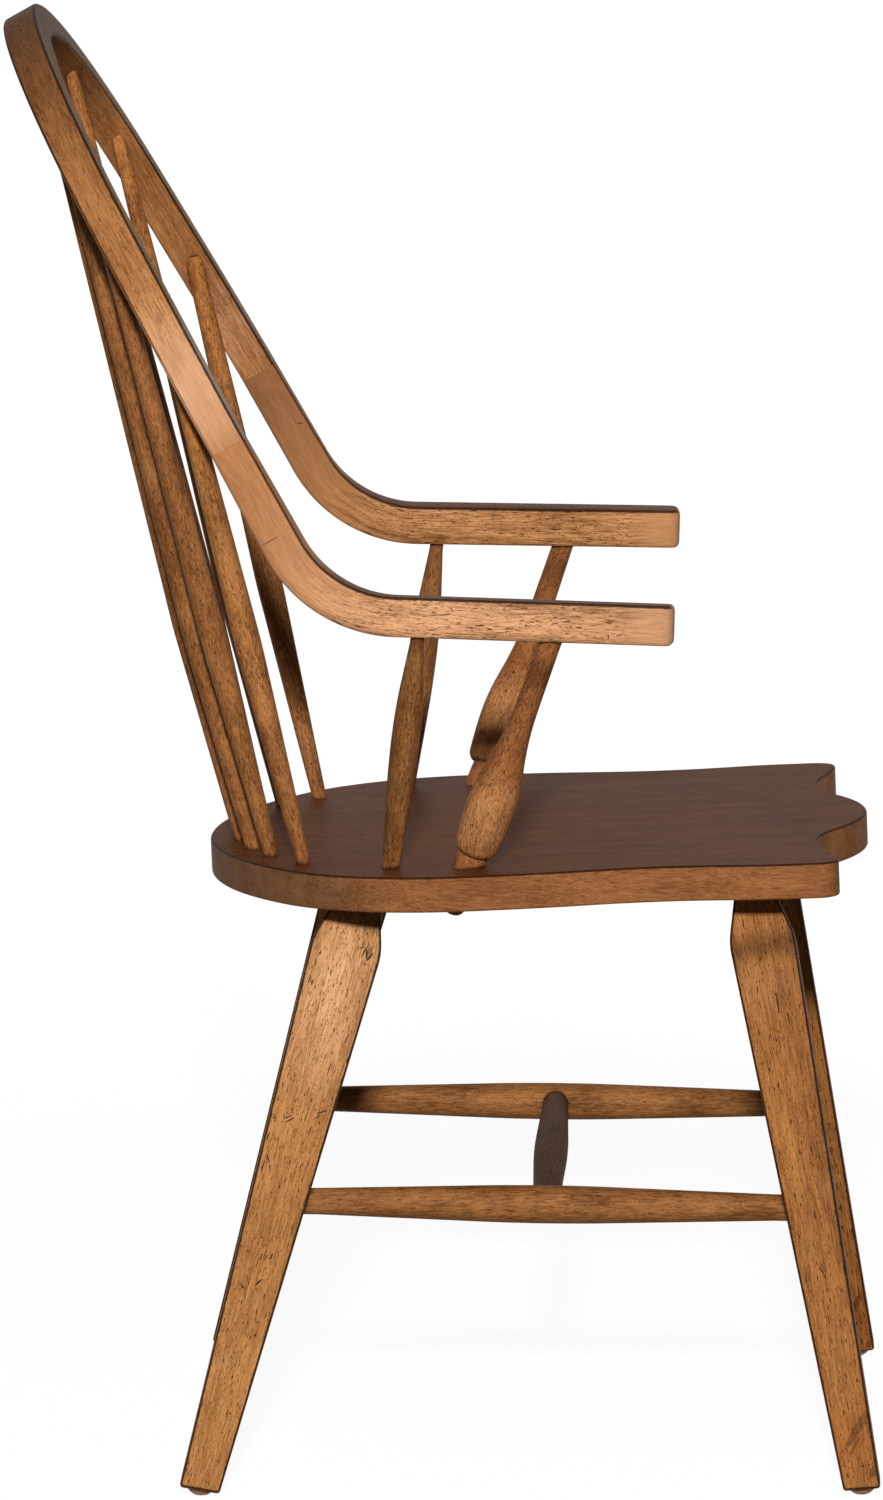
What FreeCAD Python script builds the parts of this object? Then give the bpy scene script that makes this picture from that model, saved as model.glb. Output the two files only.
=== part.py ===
import FreeCAD, Part
import math
import os
import Sketcher
from FreeCAD import Placement, Rotation, Vector

# Windsor armchair: a shaped plank seat on four square tapered legs, a leaning back bow
# that runs into two sawn arms, nine back spindles, and a turned post and a spindle
# under each arm. Millimetres, +Z up, the sitter faces -Y, and the origin is on the
# floor under the middle of the chair. Right and left are the sitter's: right is -X.

doc = FreeCAD.newDocument("windsor_armchair")
sheet = doc.addObject("Spreadsheet::Sheet", "Sizes")
sheet_rows = []


def set_sizes(title, rows):
    """Writes one block of the sheet: a title, then a note, a value and an alias a row."""
    sheet_rows.append(title)
    sheet.set("A%d" % len(sheet_rows), title)
    for alias, value, note in rows:
        sheet_rows.append(alias)
        sheet.set("A%d" % len(sheet_rows), note)
        sheet.set("B%d" % len(sheet_rows), str(value))
        sheet.setAlias("B%d" % len(sheet_rows), alias)


seat_height = 445.8
seat_slope = 2.32
seat_thickness = 25.8
seat_back_reach = 171.6
seat_back_radius = 340
seat_back_sweep = 35
seat_hip_width = 520
seat_waist_width = 494
seat_waist_reach = 160
seat_ear_width = 514
seat_ear_reach = 250.4
seat_corner_radius = 16
seat_corner_reach = 289.4
seat_notch_offset = 140
seat_notch_reach = 275
seat_lobe_reach = 311.4
seat_edge_radius = 2.2
set_sizes("Seat", [
    ("seat_height", seat_height, "height of the seat's top above the origin"),
    ("seat_slope", seat_slope, "degrees, the front higher"),
    ("seat_thickness", seat_thickness, "thickness of the plank"),
    ("seat_back_reach", seat_back_reach, "from the origin back to the seat's rear edge"),
    ("seat_back_radius", seat_back_radius, "radius of the rear edge"),
    ("seat_back_sweep", seat_back_sweep, "degrees of that arc on each side of the middle"),
    ("seat_hip_width", seat_hip_width, "width across the hips"),
    ("seat_waist_width", seat_waist_width, "width across the waist"),
    ("seat_waist_reach", seat_waist_reach, "from the origin forward to the waist"),
    ("seat_ear_width", seat_ear_width, "width across the front corners"),
    ("seat_ear_reach", seat_ear_reach, "from the origin forward to the widest front point"),
    ("seat_corner_radius", seat_corner_radius, "radius of the front corners in plan"),
    ("seat_corner_reach", seat_corner_reach, "from the origin forward to the corner's front"),
    ("seat_notch_offset", seat_notch_offset, "from the middle to the bottom of each front scoop"),
    ("seat_notch_reach", seat_notch_reach, "from the origin forward to the scoop's bottom"),
    ("seat_lobe_reach", seat_lobe_reach, "from the origin forward to the middle lobe"),
    ("seat_edge_radius", seat_edge_radius, "rounding of the seat's top and bottom edges"),
])

bow_top_height = 1051
bow_back_reach = 322
bow_lean = 29.5
bow_radius = 237.6
bow_flare = 17.76
bow_straight = 82.6
bow_return_radius = 547
bow_end_flare = 8.4
bow_depth = 27
bow_width = 27.2
bow_edge_radius = 3
arm_depth = 28.8
arm_flare = 4.1
arm_roll = 3.06
arm_stub = 46.7
arm_bend_radius = 80.4
arm_drop = 1.2
arm_front_reach = 170.4
bow_tenon_dia = 14
bow_tenon_length = 26
set_sizes("Bow and arms", [
    ("bow_top_height", bow_top_height, "height of the bow's crown"),
    ("bow_back_reach", bow_back_reach, "from the origin back to the crown's rear edge"),
    ("bow_lean", bow_lean, "degrees that the bow leans back from vertical"),
    ("bow_radius", bow_radius, "outer radius of the crown"),
    ("bow_flare", bow_flare, "degrees that each side flares below the crown"),
    ("bow_straight", bow_straight, "straight length of each side"),
    ("bow_return_radius", bow_return_radius, "outer radius where a side turns down to its arm"),
    ("bow_end_flare", bow_end_flare, "degrees that a side still flares at its joint"),
    ("bow_depth", bow_depth, "size of the bow across its plane"),
    ("bow_width", bow_width, "size of bow and arms seen from the front"),
    ("bow_edge_radius", bow_edge_radius, "rounding of the long edges"),
    ("arm_depth", arm_depth, "height of the arms"),
    ("arm_flare", arm_flare, "degrees that each arm runs outward to its front"),
    ("arm_roll", arm_roll, "degrees that each arm's top leans in towards the sitter"),
    ("arm_stub", arm_stub, "straight length of the arm above its bend"),
    ("arm_bend_radius", arm_bend_radius, "radius of the arm's upper edge at the bend"),
    ("arm_drop", arm_drop, "degrees that the arm falls to its front"),
    ("arm_front_reach", arm_front_reach, "from the origin forward to the arm's front end"),
    ("bow_tenon_dia", bow_tenon_dia, "tenon on each arm's upper end"),
    ("bow_tenon_length", bow_tenon_length, "length of that tenon in the bow"),
])

spindle_inset = 22
spindle_arc = 290
spindle_foot_angle_1 = 7.7
spindle_foot_angle_2 = 16.8
spindle_foot_angle_3 = 25.1
spindle_foot_angle_4 = 35
spindle_top_1 = 60
spindle_top_2 = 120
spindle_top_3 = 181
spindle_top_4 = 222
spindle_foot_dia = 10.4
spindle_belly_dia = 19.4
spindle_tip_dia = 8
spindle_full_length = 595
spindle_belly_height = 165
spindle_seat_socket = 16
spindle_bow_socket = 10
spindle_blend = 40
spindle_run_out = 16
set_sizes("Back spindles", [
    ("spindle_inset", spindle_inset, "from the seat's rear edge in to the middle spindle"),
    ("spindle_arc", spindle_arc, "radius of the arc that the spindles stand on"),
    ("spindle_foot_angle_1", spindle_foot_angle_1, "degrees round that arc to the first pair"),
    ("spindle_foot_angle_2", spindle_foot_angle_2, "degrees to the second pair"),
    ("spindle_foot_angle_3", spindle_foot_angle_3, "degrees to the third pair"),
    ("spindle_foot_angle_4", spindle_foot_angle_4, "degrees to the fourth pair"),
    ("spindle_top_1", spindle_top_1, "from the middle to the first pair at the bow"),
    ("spindle_top_2", spindle_top_2, "to the second pair"),
    ("spindle_top_3", spindle_top_3, "to the third pair"),
    ("spindle_top_4", spindle_top_4, "to the fourth pair"),
    ("spindle_foot_dia", spindle_foot_dia, "diameter at the seat"),
    ("spindle_belly_dia", spindle_belly_dia, "largest diameter"),
    ("spindle_tip_dia", spindle_tip_dia, "diameter at the top of the longest spindle"),
    ("spindle_full_length", spindle_full_length, "length of that spindle over the seat"),
    ("spindle_belly_height", spindle_belly_height, "from the seat up to the largest diameter"),
    ("spindle_seat_socket", spindle_seat_socket, "depth of a spindle's socket in the seat"),
    ("spindle_bow_socket", spindle_bow_socket, "its socket's depth square to the bow's face"),
    ("spindle_blend", spindle_blend, "height of the rounding at the belly"),
    ("spindle_run_out", spindle_run_out, "plain length under the bow"),
])

post_foot_inset = 45.5
post_foot_reach = 23.2
post_top_reach = 83.6
post_foot_dia = 23
post_neck_dia = 20.4
post_neck_height = 14.5
post_bulb_dia = 35.6
post_bulb_height = 50
post_shank_dia = 16.8
post_shank_share = 0.728
post_top_dia = 15.6
post_socket = 11
post_tenon_dia = 16
post_tenon_stand = 10
side_foot_inset = 55
side_foot_back = 33.2
side_top_back = 11.6
side_foot_dia = 12.6
side_belly_dia = 20.8
side_top_dia = 10.2
side_belly_share = 0.559
side_socket = 14
post_groove_width = 2.2
post_bulb_base = 6
side_blend = 50
side_run_out = 6
set_sizes("Arm posts and arm spindles", [
    ("post_foot_inset", post_foot_inset, "from the hips' width in to a post's foot"),
    ("post_foot_reach", post_foot_reach, "from the origin forward to a post's foot"),
    ("post_top_reach", post_top_reach, "from the origin forward to a post's top"),
    ("post_foot_dia", post_foot_dia, "diameter of the post's foot at the seat"),
    ("post_neck_dia", post_neck_dia, "diameter of the groove above the foot"),
    ("post_neck_height", post_neck_height, "from the seat to the groove"),
    ("post_bulb_dia", post_bulb_dia, "largest diameter of the bulb"),
    ("post_bulb_height", post_bulb_height, "from the seat to the bulb's largest diameter"),
    ("post_shank_dia", post_shank_dia, "diameter where the bulb has run out"),
    ("post_shank_share", post_shank_share, "share of the post's length up to there"),
    ("post_top_dia", post_top_dia, "diameter at the arm"),
    ("post_socket", post_socket, "depth of the post's socket in the arm"),
    ("post_tenon_dia", post_tenon_dia, "tenon that goes through the seat"),
    ("post_tenon_stand", post_tenon_stand, "length of the tenon's end below the seat"),
    ("side_foot_inset", side_foot_inset, "from the hips' width in to an arm spindle's foot"),
    ("side_foot_back", side_foot_back, "from the origin back to an arm spindle's foot"),
    ("side_top_back", side_top_back, "from the origin back to an arm spindle's top"),
    ("side_foot_dia", side_foot_dia, "diameter at the seat"),
    ("side_belly_dia", side_belly_dia, "largest diameter"),
    ("side_top_dia", side_top_dia, "diameter at the arm"),
    ("side_belly_share", side_belly_share, "share of its length up to the largest diameter"),
    ("side_socket", side_socket, "depth of its socket in the arm"),
    ("post_groove_width", post_groove_width, "width of the groove above the foot"),
    ("post_bulb_base", post_bulb_base, "height of the bulb's rounded base"),
    ("side_blend", side_blend, "height of the rounding at an arm spindle's belly"),
    ("side_run_out", side_run_out, "plain length of post and spindle under the arm"),
])

front_foot_stand = 13
front_foot_reach = 308.8
front_splay_angle = 12.3
front_rake_angle = 10.75
front_bevel_angle = 5
rear_foot_stand = 25
rear_foot_back = 169.9
rear_splay_angle = 17
rear_rake_angle = 15.2
rear_bevel_angle = 10
front_leg_foot_width = 26.6
front_leg_shoulder_width = 47.4
rear_leg_foot_width = 29
rear_leg_shoulder_width = 51.4
leg_thickness = 32
leg_shoulder_drop = 48
leg_shoulder_radius = 50
leg_shoulder_angle = 18
leg_edge_radius = 2.6
leg_tenon_dia = 20
leg_tenon_length = 18
set_sizes("Legs", [
    ("front_foot_stand", front_foot_stand, "from the corners' width out to a front foot"),
    ("front_foot_reach", front_foot_reach, "from the origin forward to a front foot"),
    ("front_splay_angle", front_splay_angle, "degrees that a front leg leans sideways"),
    ("front_rake_angle", front_rake_angle, "degrees that it leans forward"),
    ("front_bevel_angle", front_bevel_angle, "degrees that its end slopes"),
    ("rear_foot_stand", rear_foot_stand, "from the hips' width out to a rear foot"),
    ("rear_foot_back", rear_foot_back, "from the origin back to a rear foot"),
    ("rear_splay_angle", rear_splay_angle, "degrees that a rear leg leans sideways"),
    ("rear_rake_angle", rear_rake_angle, "degrees that it leans back"),
    ("rear_bevel_angle", rear_bevel_angle, "degrees that its end slopes"),
    ("front_leg_foot_width", front_leg_foot_width, "width of a front leg at the floor"),
    ("front_leg_shoulder_width", front_leg_shoulder_width, "its width at the shoulders"),
    ("rear_leg_foot_width", rear_leg_foot_width, "width of a rear leg at the floor"),
    ("rear_leg_shoulder_width", rear_leg_shoulder_width, "width of a rear leg at its shoulders"),
    ("leg_thickness", leg_thickness, "thickness of a leg"),
    ("leg_shoulder_drop", leg_shoulder_drop, "from the seat's underside down to the shoulders"),
    ("leg_shoulder_radius", leg_shoulder_radius, "radius of the shoulders"),
    ("leg_shoulder_angle", leg_shoulder_angle, "degrees that the leg narrows above them"),
    ("leg_edge_radius", leg_edge_radius, "rounding of a leg's edges"),
    ("leg_tenon_dia", leg_tenon_dia, "tenon on a leg's top"),
    ("leg_tenon_length", leg_tenon_length, "length of that tenon in the seat"),
])

stretcher_rear_height = 204
stretcher_front_height = 200.8
stretcher_end_dia = 19.2
stretcher_belly_dia = 27.6
cross_belly_dia = 25
stretcher_socket = 14
cross_socket = 12
stretcher_blend = 50
cross_blend = 60
joint_run_out = 8
set_sizes("Stretchers", [
    ("stretcher_rear_height", stretcher_rear_height, "their height at the rear legs"),
    ("stretcher_front_height", stretcher_front_height, "their height at the front legs"),
    ("stretcher_end_dia", stretcher_end_dia, "diameter of every stretcher's ends"),
    ("stretcher_belly_dia", stretcher_belly_dia, "largest diameter of a side stretcher"),
    ("cross_belly_dia", cross_belly_dia, "largest diameter of the cross stretcher"),
    ("stretcher_socket", stretcher_socket, "depth of a side stretcher's socket in a leg"),
    ("cross_socket", cross_socket, "depth of the cross stretcher's socket"),
    ("stretcher_blend", stretcher_blend, "length of the rounding at a side belly"),
    ("cross_blend", cross_blend, "length of the rounding at the cross belly"),
    ("joint_run_out", joint_run_out, "plain length at every stretcher's ends"),
])

glide_dia = 19
glide_height = 5.5
glide_rim = 1.5
glide_dome = 6.2
nail_dia = 3
nail_length = 16
glue_gap = 0.05
socket_bottom = 0.5
set_sizes("Glides and fits", [
    ("glide_dia", glide_dia, "diameter of a glide"),
    ("glide_height", glide_height, "height of a foot's middle above the floor"),
    ("glide_rim", glide_rim, "straight rim of a glide"),
    ("glide_dome", glide_dome, "height of a glide before its sole wore flat"),
    ("nail_dia", nail_dia, "nail moulded into a glide"),
    ("nail_length", nail_length, "length of that nail in the foot"),
    ("glue_gap", glue_gap, "radial room for glue round every tenon"),
    ("socket_bottom", socket_bottom, "room under the end of a tenon or dowel"),
])

doc.recompute()


def turn_to(direction):
    """Rotation that takes +Z along the direction and keeps +X sideways where it can."""
    along = Vector(direction).normalize()
    sideways = Vector(1, 0, 0) if abs(along.x) < 0.9 else Vector(0, 1, 0)
    across = sideways - along * along.dot(sideways)
    across.normalize()
    return Rotation(across, along.cross(across), along, "ZXY")


def origin_plane(body, role):
    for feature in body.Origin.OriginFeatures:
        if feature.Role == role:
            return feature
    raise RuntimeError("no plane " + role)


class Path:
    """A chain of lines and tangent arcs in a sketch's plane."""

    def __init__(self, x, y, heading):
        self.x = x
        self.y = y
        self.heading = math.radians(heading)
        self.pieces = []

    def move(self, x, y):
        self.x = x
        self.y = y

    def line(self, length):
        x = self.x + length * math.cos(self.heading)
        y = self.y + length * math.sin(self.heading)
        self.pieces.append([(self.x, self.y), (x, y)])
        self.move(x, y)

    def line_to(self, x, y):
        self.heading = math.atan2(y - self.y, x - self.x)
        self.pieces.append([(self.x, self.y), (x, y)])
        self.move(x, y)

    def arc(self, radius, turn):
        """Turns by degrees, left if positive, round an arc of that radius."""
        side = 1 if turn > 0 else -1
        bend = math.radians(turn)
        normal = self.heading + side * math.pi / 2
        centre_x = self.x + radius * math.cos(normal)
        centre_y = self.y + radius * math.sin(normal)
        points = [(self.x, self.y)]
        for share in (0.5, 1.0):
            angle = normal + math.pi + bend * share
            points.append((centre_x + radius * math.cos(angle),
                           centre_y + radius * math.sin(angle)))
        self.pieces.append(points)
        self.move(*points[-1])
        self.heading += bend

    def arc_to(self, x, y):
        """Tangent arc that ends at the point."""
        chord = math.hypot(x - self.x, y - self.y)
        off = math.atan2(y - self.y, x - self.x) - self.heading
        off = math.atan2(math.sin(off), math.cos(off))
        self.arc(chord / (2 * abs(math.sin(off))), math.degrees(2 * off))

    def ogee_to(self, x, y, share):
        """Two opposite arcs to a point where the path runs parallel again."""
        start_x = self.x
        start_y = self.y
        self.arc_to(start_x + share * (x - start_x), start_y + share * (y - start_y))
        self.arc_to(x, y)

    def mirrored(self):
        return [[(-x, y) for x, y in piece] for piece in self.pieces]


def draw(body, name, role, pieces):
    """Sketch on one of the body's origin planes, closed by coincident ends."""
    sketch = body.newObject("Sketcher::SketchObject", name)
    sketch.AttachmentSupport = [(origin_plane(body, role), "")]
    sketch.MapMode = "FlatFace"
    ends = []
    for points in pieces:
        vectors = [Vector(x, y, 0) for x, y in points]
        if len(vectors) == 2:
            index = sketch.addGeometry(Part.LineSegment(*vectors), False)
        else:
            index = sketch.addGeometry(Part.Arc(*vectors), False)
        for position in (1, 2):
            point = sketch.getPoint(index, position)
            for other, other_position, other_point in ends:
                if other != index and point.distanceToPoint(other_point) < 1e-5:
                    sketch.addConstraint(Sketcher.Constraint(
                        "Coincident", index, position, other, other_position))
                    break
            ends.append((index, position, point))
    return sketch


def pin_down(sketch, label, geometry, expression):
    """Ties the radius at the start of one piece of a turning's profile to the sheet."""
    index = sketch.addConstraint(Sketcher.Constraint(
        "DistanceX", -1, 1, geometry, 1, sketch.getPoint(geometry, 1).x))
    sketch.renameConstraint(index, label)
    sketch.setExpression("Constraints." + label, expression)


def new_body(name):
    return doc.addObject("PartDesign::Body", name)


def pad_up(body, sketch, length, backwards=False):
    pad = body.newObject("PartDesign::Pad", body.Name + "_pad")
    pad.Profile = sketch
    pad.setExpression("Length", length)
    pad.Reversed = backwards
    sketch.Visibility = False
    doc.recompute()
    return pad


def spin(body, sketch):
    """Full turn of a profile about the sketch's vertical axis."""
    turned = body.newObject("PartDesign::Revolution", body.Name + "_turning")
    turned.Profile = sketch
    turned.ReferenceAxis = (sketch, ["V_Axis"])
    turned.Angle = 360
    doc.recompute()
    return turned


def round_edges(body, base, chosen, radius):
    names = []
    for number, edge in enumerate(base.Shape.Edges, start=1):
        if chosen(edge):
            names.append("Edge%d" % number)
    fillet = body.newObject("PartDesign::Fillet", body.Name + "_rounding")
    fillet.Base = (base, names)
    fillet.setExpression("Radius", radius)
    doc.recompute()
    return fillet


def rod(name, start, direction, radius, length):
    """Cylinder from a point along a direction, both sizes as expressions."""
    cylinder = doc.addObject("Part::Cylinder", name)
    cylinder.setExpression("Radius", radius)
    if isinstance(length, str):
        cylinder.setExpression("Height", length)
    else:
        cylinder.Height = length
    cylinder.Placement = Placement(start, turn_to(direction))
    return cylinder


def gather(name, tools):
    group = doc.addObject("Part::Compound", name)
    group.Links = tools
    doc.recompute()
    return group


def cut_away(name, base, tool):
    cut = doc.addObject("Part::Cut", name)
    cut.Base = base
    cut.Tool = tool
    doc.recompute()
    return cut


def fuse(name, first, second):
    joined = doc.addObject("Part::Fuse", name)
    joined.Base = first
    joined.Tool = second
    joined.Refine = True
    doc.recompute()
    return joined


nodes = {}


def finish(name, feature):
    feature.Label = name
    nodes[name] = feature
    return feature


def finish_pair(name, feature):
    """The sitter's right piece, and the left one as its mirror image."""
    finish(name + "_right", feature)
    twin = doc.addObject("Part::Mirroring", name + "_twin")
    twin.Source = feature
    twin.Base = Vector(0, 0, 0)
    twin.Normal = Vector(1, 0, 0)
    doc.recompute()
    finish(name + "_left", twin)


# The seat's plane. Its top face is the local XY plane, tilted about X.
seat_place = Placement(Vector(0, 0, seat_height),
                       Rotation(Vector(1, 0, 0), -seat_slope))
seat_up = seat_place.Rotation.multVec(Vector(0, 0, 1))


def seat_point(x, y, below=0.0):
    """Point on the seat's top, or below it, straight over the plan position."""
    drop = math.tan(math.radians(seat_slope)) * y
    level = seat_height - drop - below / math.cos(math.radians(seat_slope))
    return Vector(x, y, level)


# The bow's plane. Local X is across, local Y climbs the lean, local Z faces forward,
# and the local origin is the centre of the crown's arc on the bow's rear face.
lean = math.radians(bow_lean)
bow_rotation = Rotation(Vector(1, 0, 0), 90 - bow_lean)
bow_climb = bow_rotation.multVec(Vector(0, 1, 0))
bow_front = bow_rotation.multVec(Vector(0, 0, 1))
crown_rear = Vector(0, bow_back_reach,
                    bow_top_height - bow_depth * bow_front.z)
bow_place = Placement(crown_rear - bow_climb * bow_radius, bow_rotation)

# Right arm's plane: local X runs forward and out, local Y up, local Z outward. The
# arm's stub goes down along the line where this plane meets the bow's.
flare_turn = math.radians(arm_flare)
roll_turn = math.radians(arm_roll)
arm_forward = Vector(-math.sin(flare_turn), -math.cos(flare_turn), 0)
arm_outward = Vector(-math.cos(flare_turn) * math.cos(roll_turn),
                     math.sin(flare_turn) * math.cos(roll_turn), math.sin(roll_turn))
arm_up = arm_outward.cross(arm_forward)
arm_rotation = Rotation(arm_forward, arm_up, arm_outward, "ZXY")
stub_down = bow_front.cross(arm_outward).normalize()
stub_flare = math.degrees(math.atan2(-stub_down.x, -stub_down.dot(bow_climb)))
stub_heading = math.degrees(math.atan2(stub_down.dot(arm_up), stub_down.dot(arm_forward)))


def bow_edge(inset):
    """Half of a line that follows the bow at a distance inside its outer edge."""
    path = Path(0, bow_radius - inset, 0)
    path.arc(bow_radius - inset, bow_flare - 90)
    path.line(bow_straight)
    path.arc(bow_return_radius - inset, bow_end_flare - bow_flare)
    return path


# The joint between bow and arm on the right side, as points of the outer front edge.
outer_edge = bow_edge(0)
joint_heading = outer_edge.heading
joint_corner = bow_place.multVec(Vector(-outer_edge.x, outer_edge.y, bow_depth))
joint_inward = bow_rotation.multVec(
    Vector(-math.sin(joint_heading), -math.cos(joint_heading), 0))
joint_down = joint_inward.cross(bow_front)
joint_middle = (joint_corner - bow_front * (bow_depth / 2)
                + joint_inward * (bow_width / 2))

# The arm follows the bow's line below the joint, then its own stub, to the bend.
tail = bow_edge(0)
tail.arc(bow_return_radius, stub_flare - bow_end_flare)
tail.line(arm_stub)
bend_corner = bow_place.multVec(Vector(-tail.x, tail.y, bow_depth))
arm_place = Placement(bend_corner, arm_rotation)


def arm_line(below):
    """The arm's upper edge from the bend to the front, or a line parallel below it."""
    path = Path(0, 0, stub_heading)
    side = path.heading - math.pi / 2
    path.move(below * math.cos(side), below * math.sin(side))
    path.arc(arm_bend_radius + below, -arm_drop - stub_heading)
    end = (bend_corner.y + arm_front_reach) / math.cos(flare_turn)
    path.line((end - path.x) / math.cos(path.heading))
    return path


def under_arm(reach):
    """Point in the middle of the right arm's underside at a distance in front."""
    lower = arm_line(arm_depth)
    along = (bend_corner.y + reach) / math.cos(flare_turn)
    along -= bow_width / 2 * math.tan(flare_turn)
    level = lower.y + (lower.x - along) * math.tan(math.radians(arm_drop))
    return arm_place.multVec(Vector(along, level, -bow_width / 2))


def taper_pieces(length, start_radius, belly_radius, end_radius, belly_height, blend):
    """Right side of a turning that swells in a straight taper to a rounded belly."""
    lower_slope = (belly_radius - start_radius) / (belly_height - blend / 2)
    upper_slope = (belly_radius - end_radius) / (length - belly_height - blend / 2)
    path = Path(start_radius, 0, 90)
    path.line_to(belly_radius - lower_slope * blend / 2, belly_height - blend)
    path.arc_to(belly_radius, belly_height)
    path.heading = math.pi / 2
    path.arc(blend / upper_slope, math.degrees(math.atan(upper_slope)))
    path.line_to(end_radius, length)
    return path


def turning(name, foot, top, profile):
    """Turned piece between two points, with its profile closed along its axis."""
    body = new_body(name)
    sketch = draw(body, name + "_profile", "XZ_Plane", profile)
    spin(body, sketch)
    body.Placement = Placement(foot, turn_to(top - foot))
    doc.recompute()
    return body


def swelled_rod(name, foot, top, foot_tenon, top_tenon, sizes, blend):
    """Spindle or stretcher with plain round ends that run on into their sockets."""
    foot_dia, belly_dia, top_dia, belly_height = sizes
    length = (top - foot).Length
    taper = taper_pieces(length, foot_dia / 2, belly_dia / 2, top_dia / 2,
                         belly_height or length / 2, blend)
    shape = Path(0, -foot_tenon, 0)
    shape.line_to(foot_dia / 2, -foot_tenon)
    shape.line_to(foot_dia / 2, 0)
    shape.pieces += taper.pieces
    shape.move(top_dia / 2, length)
    shape.line_to(top_dia / 2, length + top_tenon)
    shape.line_to(0, length + top_tenon)
    shape.line_to(0, -foot_tenon)
    return turning(name, foot, top, shape.pieces)


# Back spindles: one in the middle and four on each side. Each runs from a point on the
# seat's top to a point on the bow's inner face, and on into a socket at both ends.
seat_tools = []
bow_tools = []
spindle_arc_centre = seat_back_reach - spindle_inset - spindle_arc
inner_edge = bow_edge(bow_width)
inner_radius = bow_radius - bow_width


def bow_entry(offset):
    """Point and inward normal on the bow's inner face at a distance from the middle."""
    flare = math.radians(bow_flare)
    arc_end = inner_radius * math.cos(flare)
    if offset < arc_end:
        height = math.sqrt(inner_radius ** 2 - offset ** 2)
        normal = Vector(offset / inner_radius, height / inner_radius, 0)
    else:
        height = inner_radius * math.sin(flare) - (offset - arc_end) / math.tan(flare)
        normal = Vector(math.cos(flare), math.sin(flare), 0)
    point = bow_place.multVec(Vector(-offset, height, bow_depth / 2))
    return point, bow_rotation.multVec(Vector(-normal.x, normal.y, 0))


def back_spindle(name, angle, offset):
    """All nine are the same turning: the shorter ones end lower on its taper."""
    turn = math.radians(angle)
    radius = spindle_arc
    foot = seat_point(-radius * math.sin(turn), spindle_arc_centre + radius * math.cos(turn))
    top, into_bow = bow_entry(offset)
    axis = (top - foot).normalize()
    reach = spindle_bow_socket / axis.dot(into_bow)
    neck = top - axis * spindle_run_out
    upper_taper = ((spindle_belly_dia - spindle_tip_dia)
                   / (spindle_full_length - spindle_belly_height))
    above_belly = (neck - foot).Length - spindle_belly_height
    top_dia = spindle_belly_dia - upper_taper * above_belly
    sizes = (spindle_foot_dia, spindle_belly_dia, top_dia,
             spindle_belly_height)
    piece = swelled_rod(name, foot, neck, spindle_seat_socket,
                        spindle_run_out + reach, sizes, spindle_blend)
    pin_down(piece.Group[0], "foot_radius", 1, "Sizes.spindle_foot_dia / 2")
    pin_down(piece.Group[0], "belly_radius", 3, "Sizes.spindle_belly_dia / 2")
    clear_foot = "Sizes.spindle_foot_dia / 2 + Sizes.glue_gap"
    clear_top = "%.4f + Sizes.glue_gap" % (top_dia / 2)
    deep = spindle_seat_socket + socket_bottom
    seat_tools.append(rod(name + "_seat_socket", foot - axis * deep, axis, clear_foot,
                          deep + seat_thickness))
    bow_tools.append(rod(name + "_bow_socket", neck, axis, clear_top,
                         spindle_run_out + reach + socket_bottom))
    return piece


middle_spindle = back_spindle("spindle_0", 0, 0)
finish("back_spindle_middle", middle_spindle)
spindle_pairs = (
    (spindle_foot_angle_1, spindle_top_1), (spindle_foot_angle_2, spindle_top_2),
    (spindle_foot_angle_3, spindle_top_3), (spindle_foot_angle_4, spindle_top_4))
for pair, (angle, offset) in enumerate(spindle_pairs, start=1):
    spindle = back_spindle("spindle_%d" % pair, angle, offset)
    finish_pair("back_spindle_%d" % pair, spindle)

# Arm spindle: a shorter turning of the same kind between the seat and the arm.
side_foot = seat_point(side_foot_inset - seat_hip_width / 2, side_foot_back)
side_top = under_arm(-side_top_back)
side_axis = (side_top - side_foot).normalize()
side_neck = side_top - side_axis * side_run_out
arm_tools = []
arm_spindle = swelled_rod(
    "side_spindle", side_foot, side_neck, spindle_seat_socket,
    side_run_out + side_socket,
    (side_foot_dia, side_belly_dia, side_top_dia,
     side_belly_share * (side_neck - side_foot).Length), side_blend)
side_deep = spindle_seat_socket + socket_bottom
seat_tools.append(rod("side_seat_socket", side_foot - side_axis * side_deep, side_axis,
                      "Sizes.side_foot_dia / 2 + Sizes.glue_gap",
                      side_deep + seat_thickness))
arm_tools.append(rod("side_arm_socket", side_neck, side_axis,
                     "Sizes.side_top_dia / 2 + Sizes.glue_gap",
                     side_run_out + side_socket + socket_bottom))
finish_pair("arm_spindle", arm_spindle)

# Arm post: a baluster with a flared foot, a groove, a bulb and a long taper. The foot
# is cut to the seat's top, and a tenon goes on through the seat.
post_foot = seat_point(post_foot_inset - seat_hip_width / 2, -post_foot_reach)
post_top = under_arm(post_top_reach)
post_axis = (post_top - post_foot).normalize()
post_length = (post_top - post_foot).Length
foot_spare = post_foot_dia

post_shape = Path(0, -foot_spare, 0)
post_shape.line_to(post_foot_dia / 2, -foot_spare)
post_shape.line_to(post_foot_dia / 2, 0)
post_shape.heading = math.pi / 2
post_shape.arc_to(post_neck_dia / 2 + 0.6, post_neck_height - post_groove_width / 2)
post_shape.line_to(post_neck_dia / 2, post_neck_height)
post_shape.line_to(post_bulb_dia * 0.375,
                   post_neck_height + post_groove_width / 2)
post_shape.heading = math.radians(40)
post_shape.arc_to(post_bulb_dia * 0.4625, post_shape.y + post_bulb_base)
post_shape.arc_to(post_bulb_dia / 2, post_bulb_height)
post_shape.heading = math.pi / 2
post_shape.ogee_to(post_shank_dia / 2, post_shank_share * post_length, 0.38)
post_shape.line_to(post_top_dia / 2, post_length - side_run_out)
post_shape.line_to(post_top_dia / 2, post_length + post_socket)
post_shape.line_to(0, post_length + post_socket)
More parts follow.
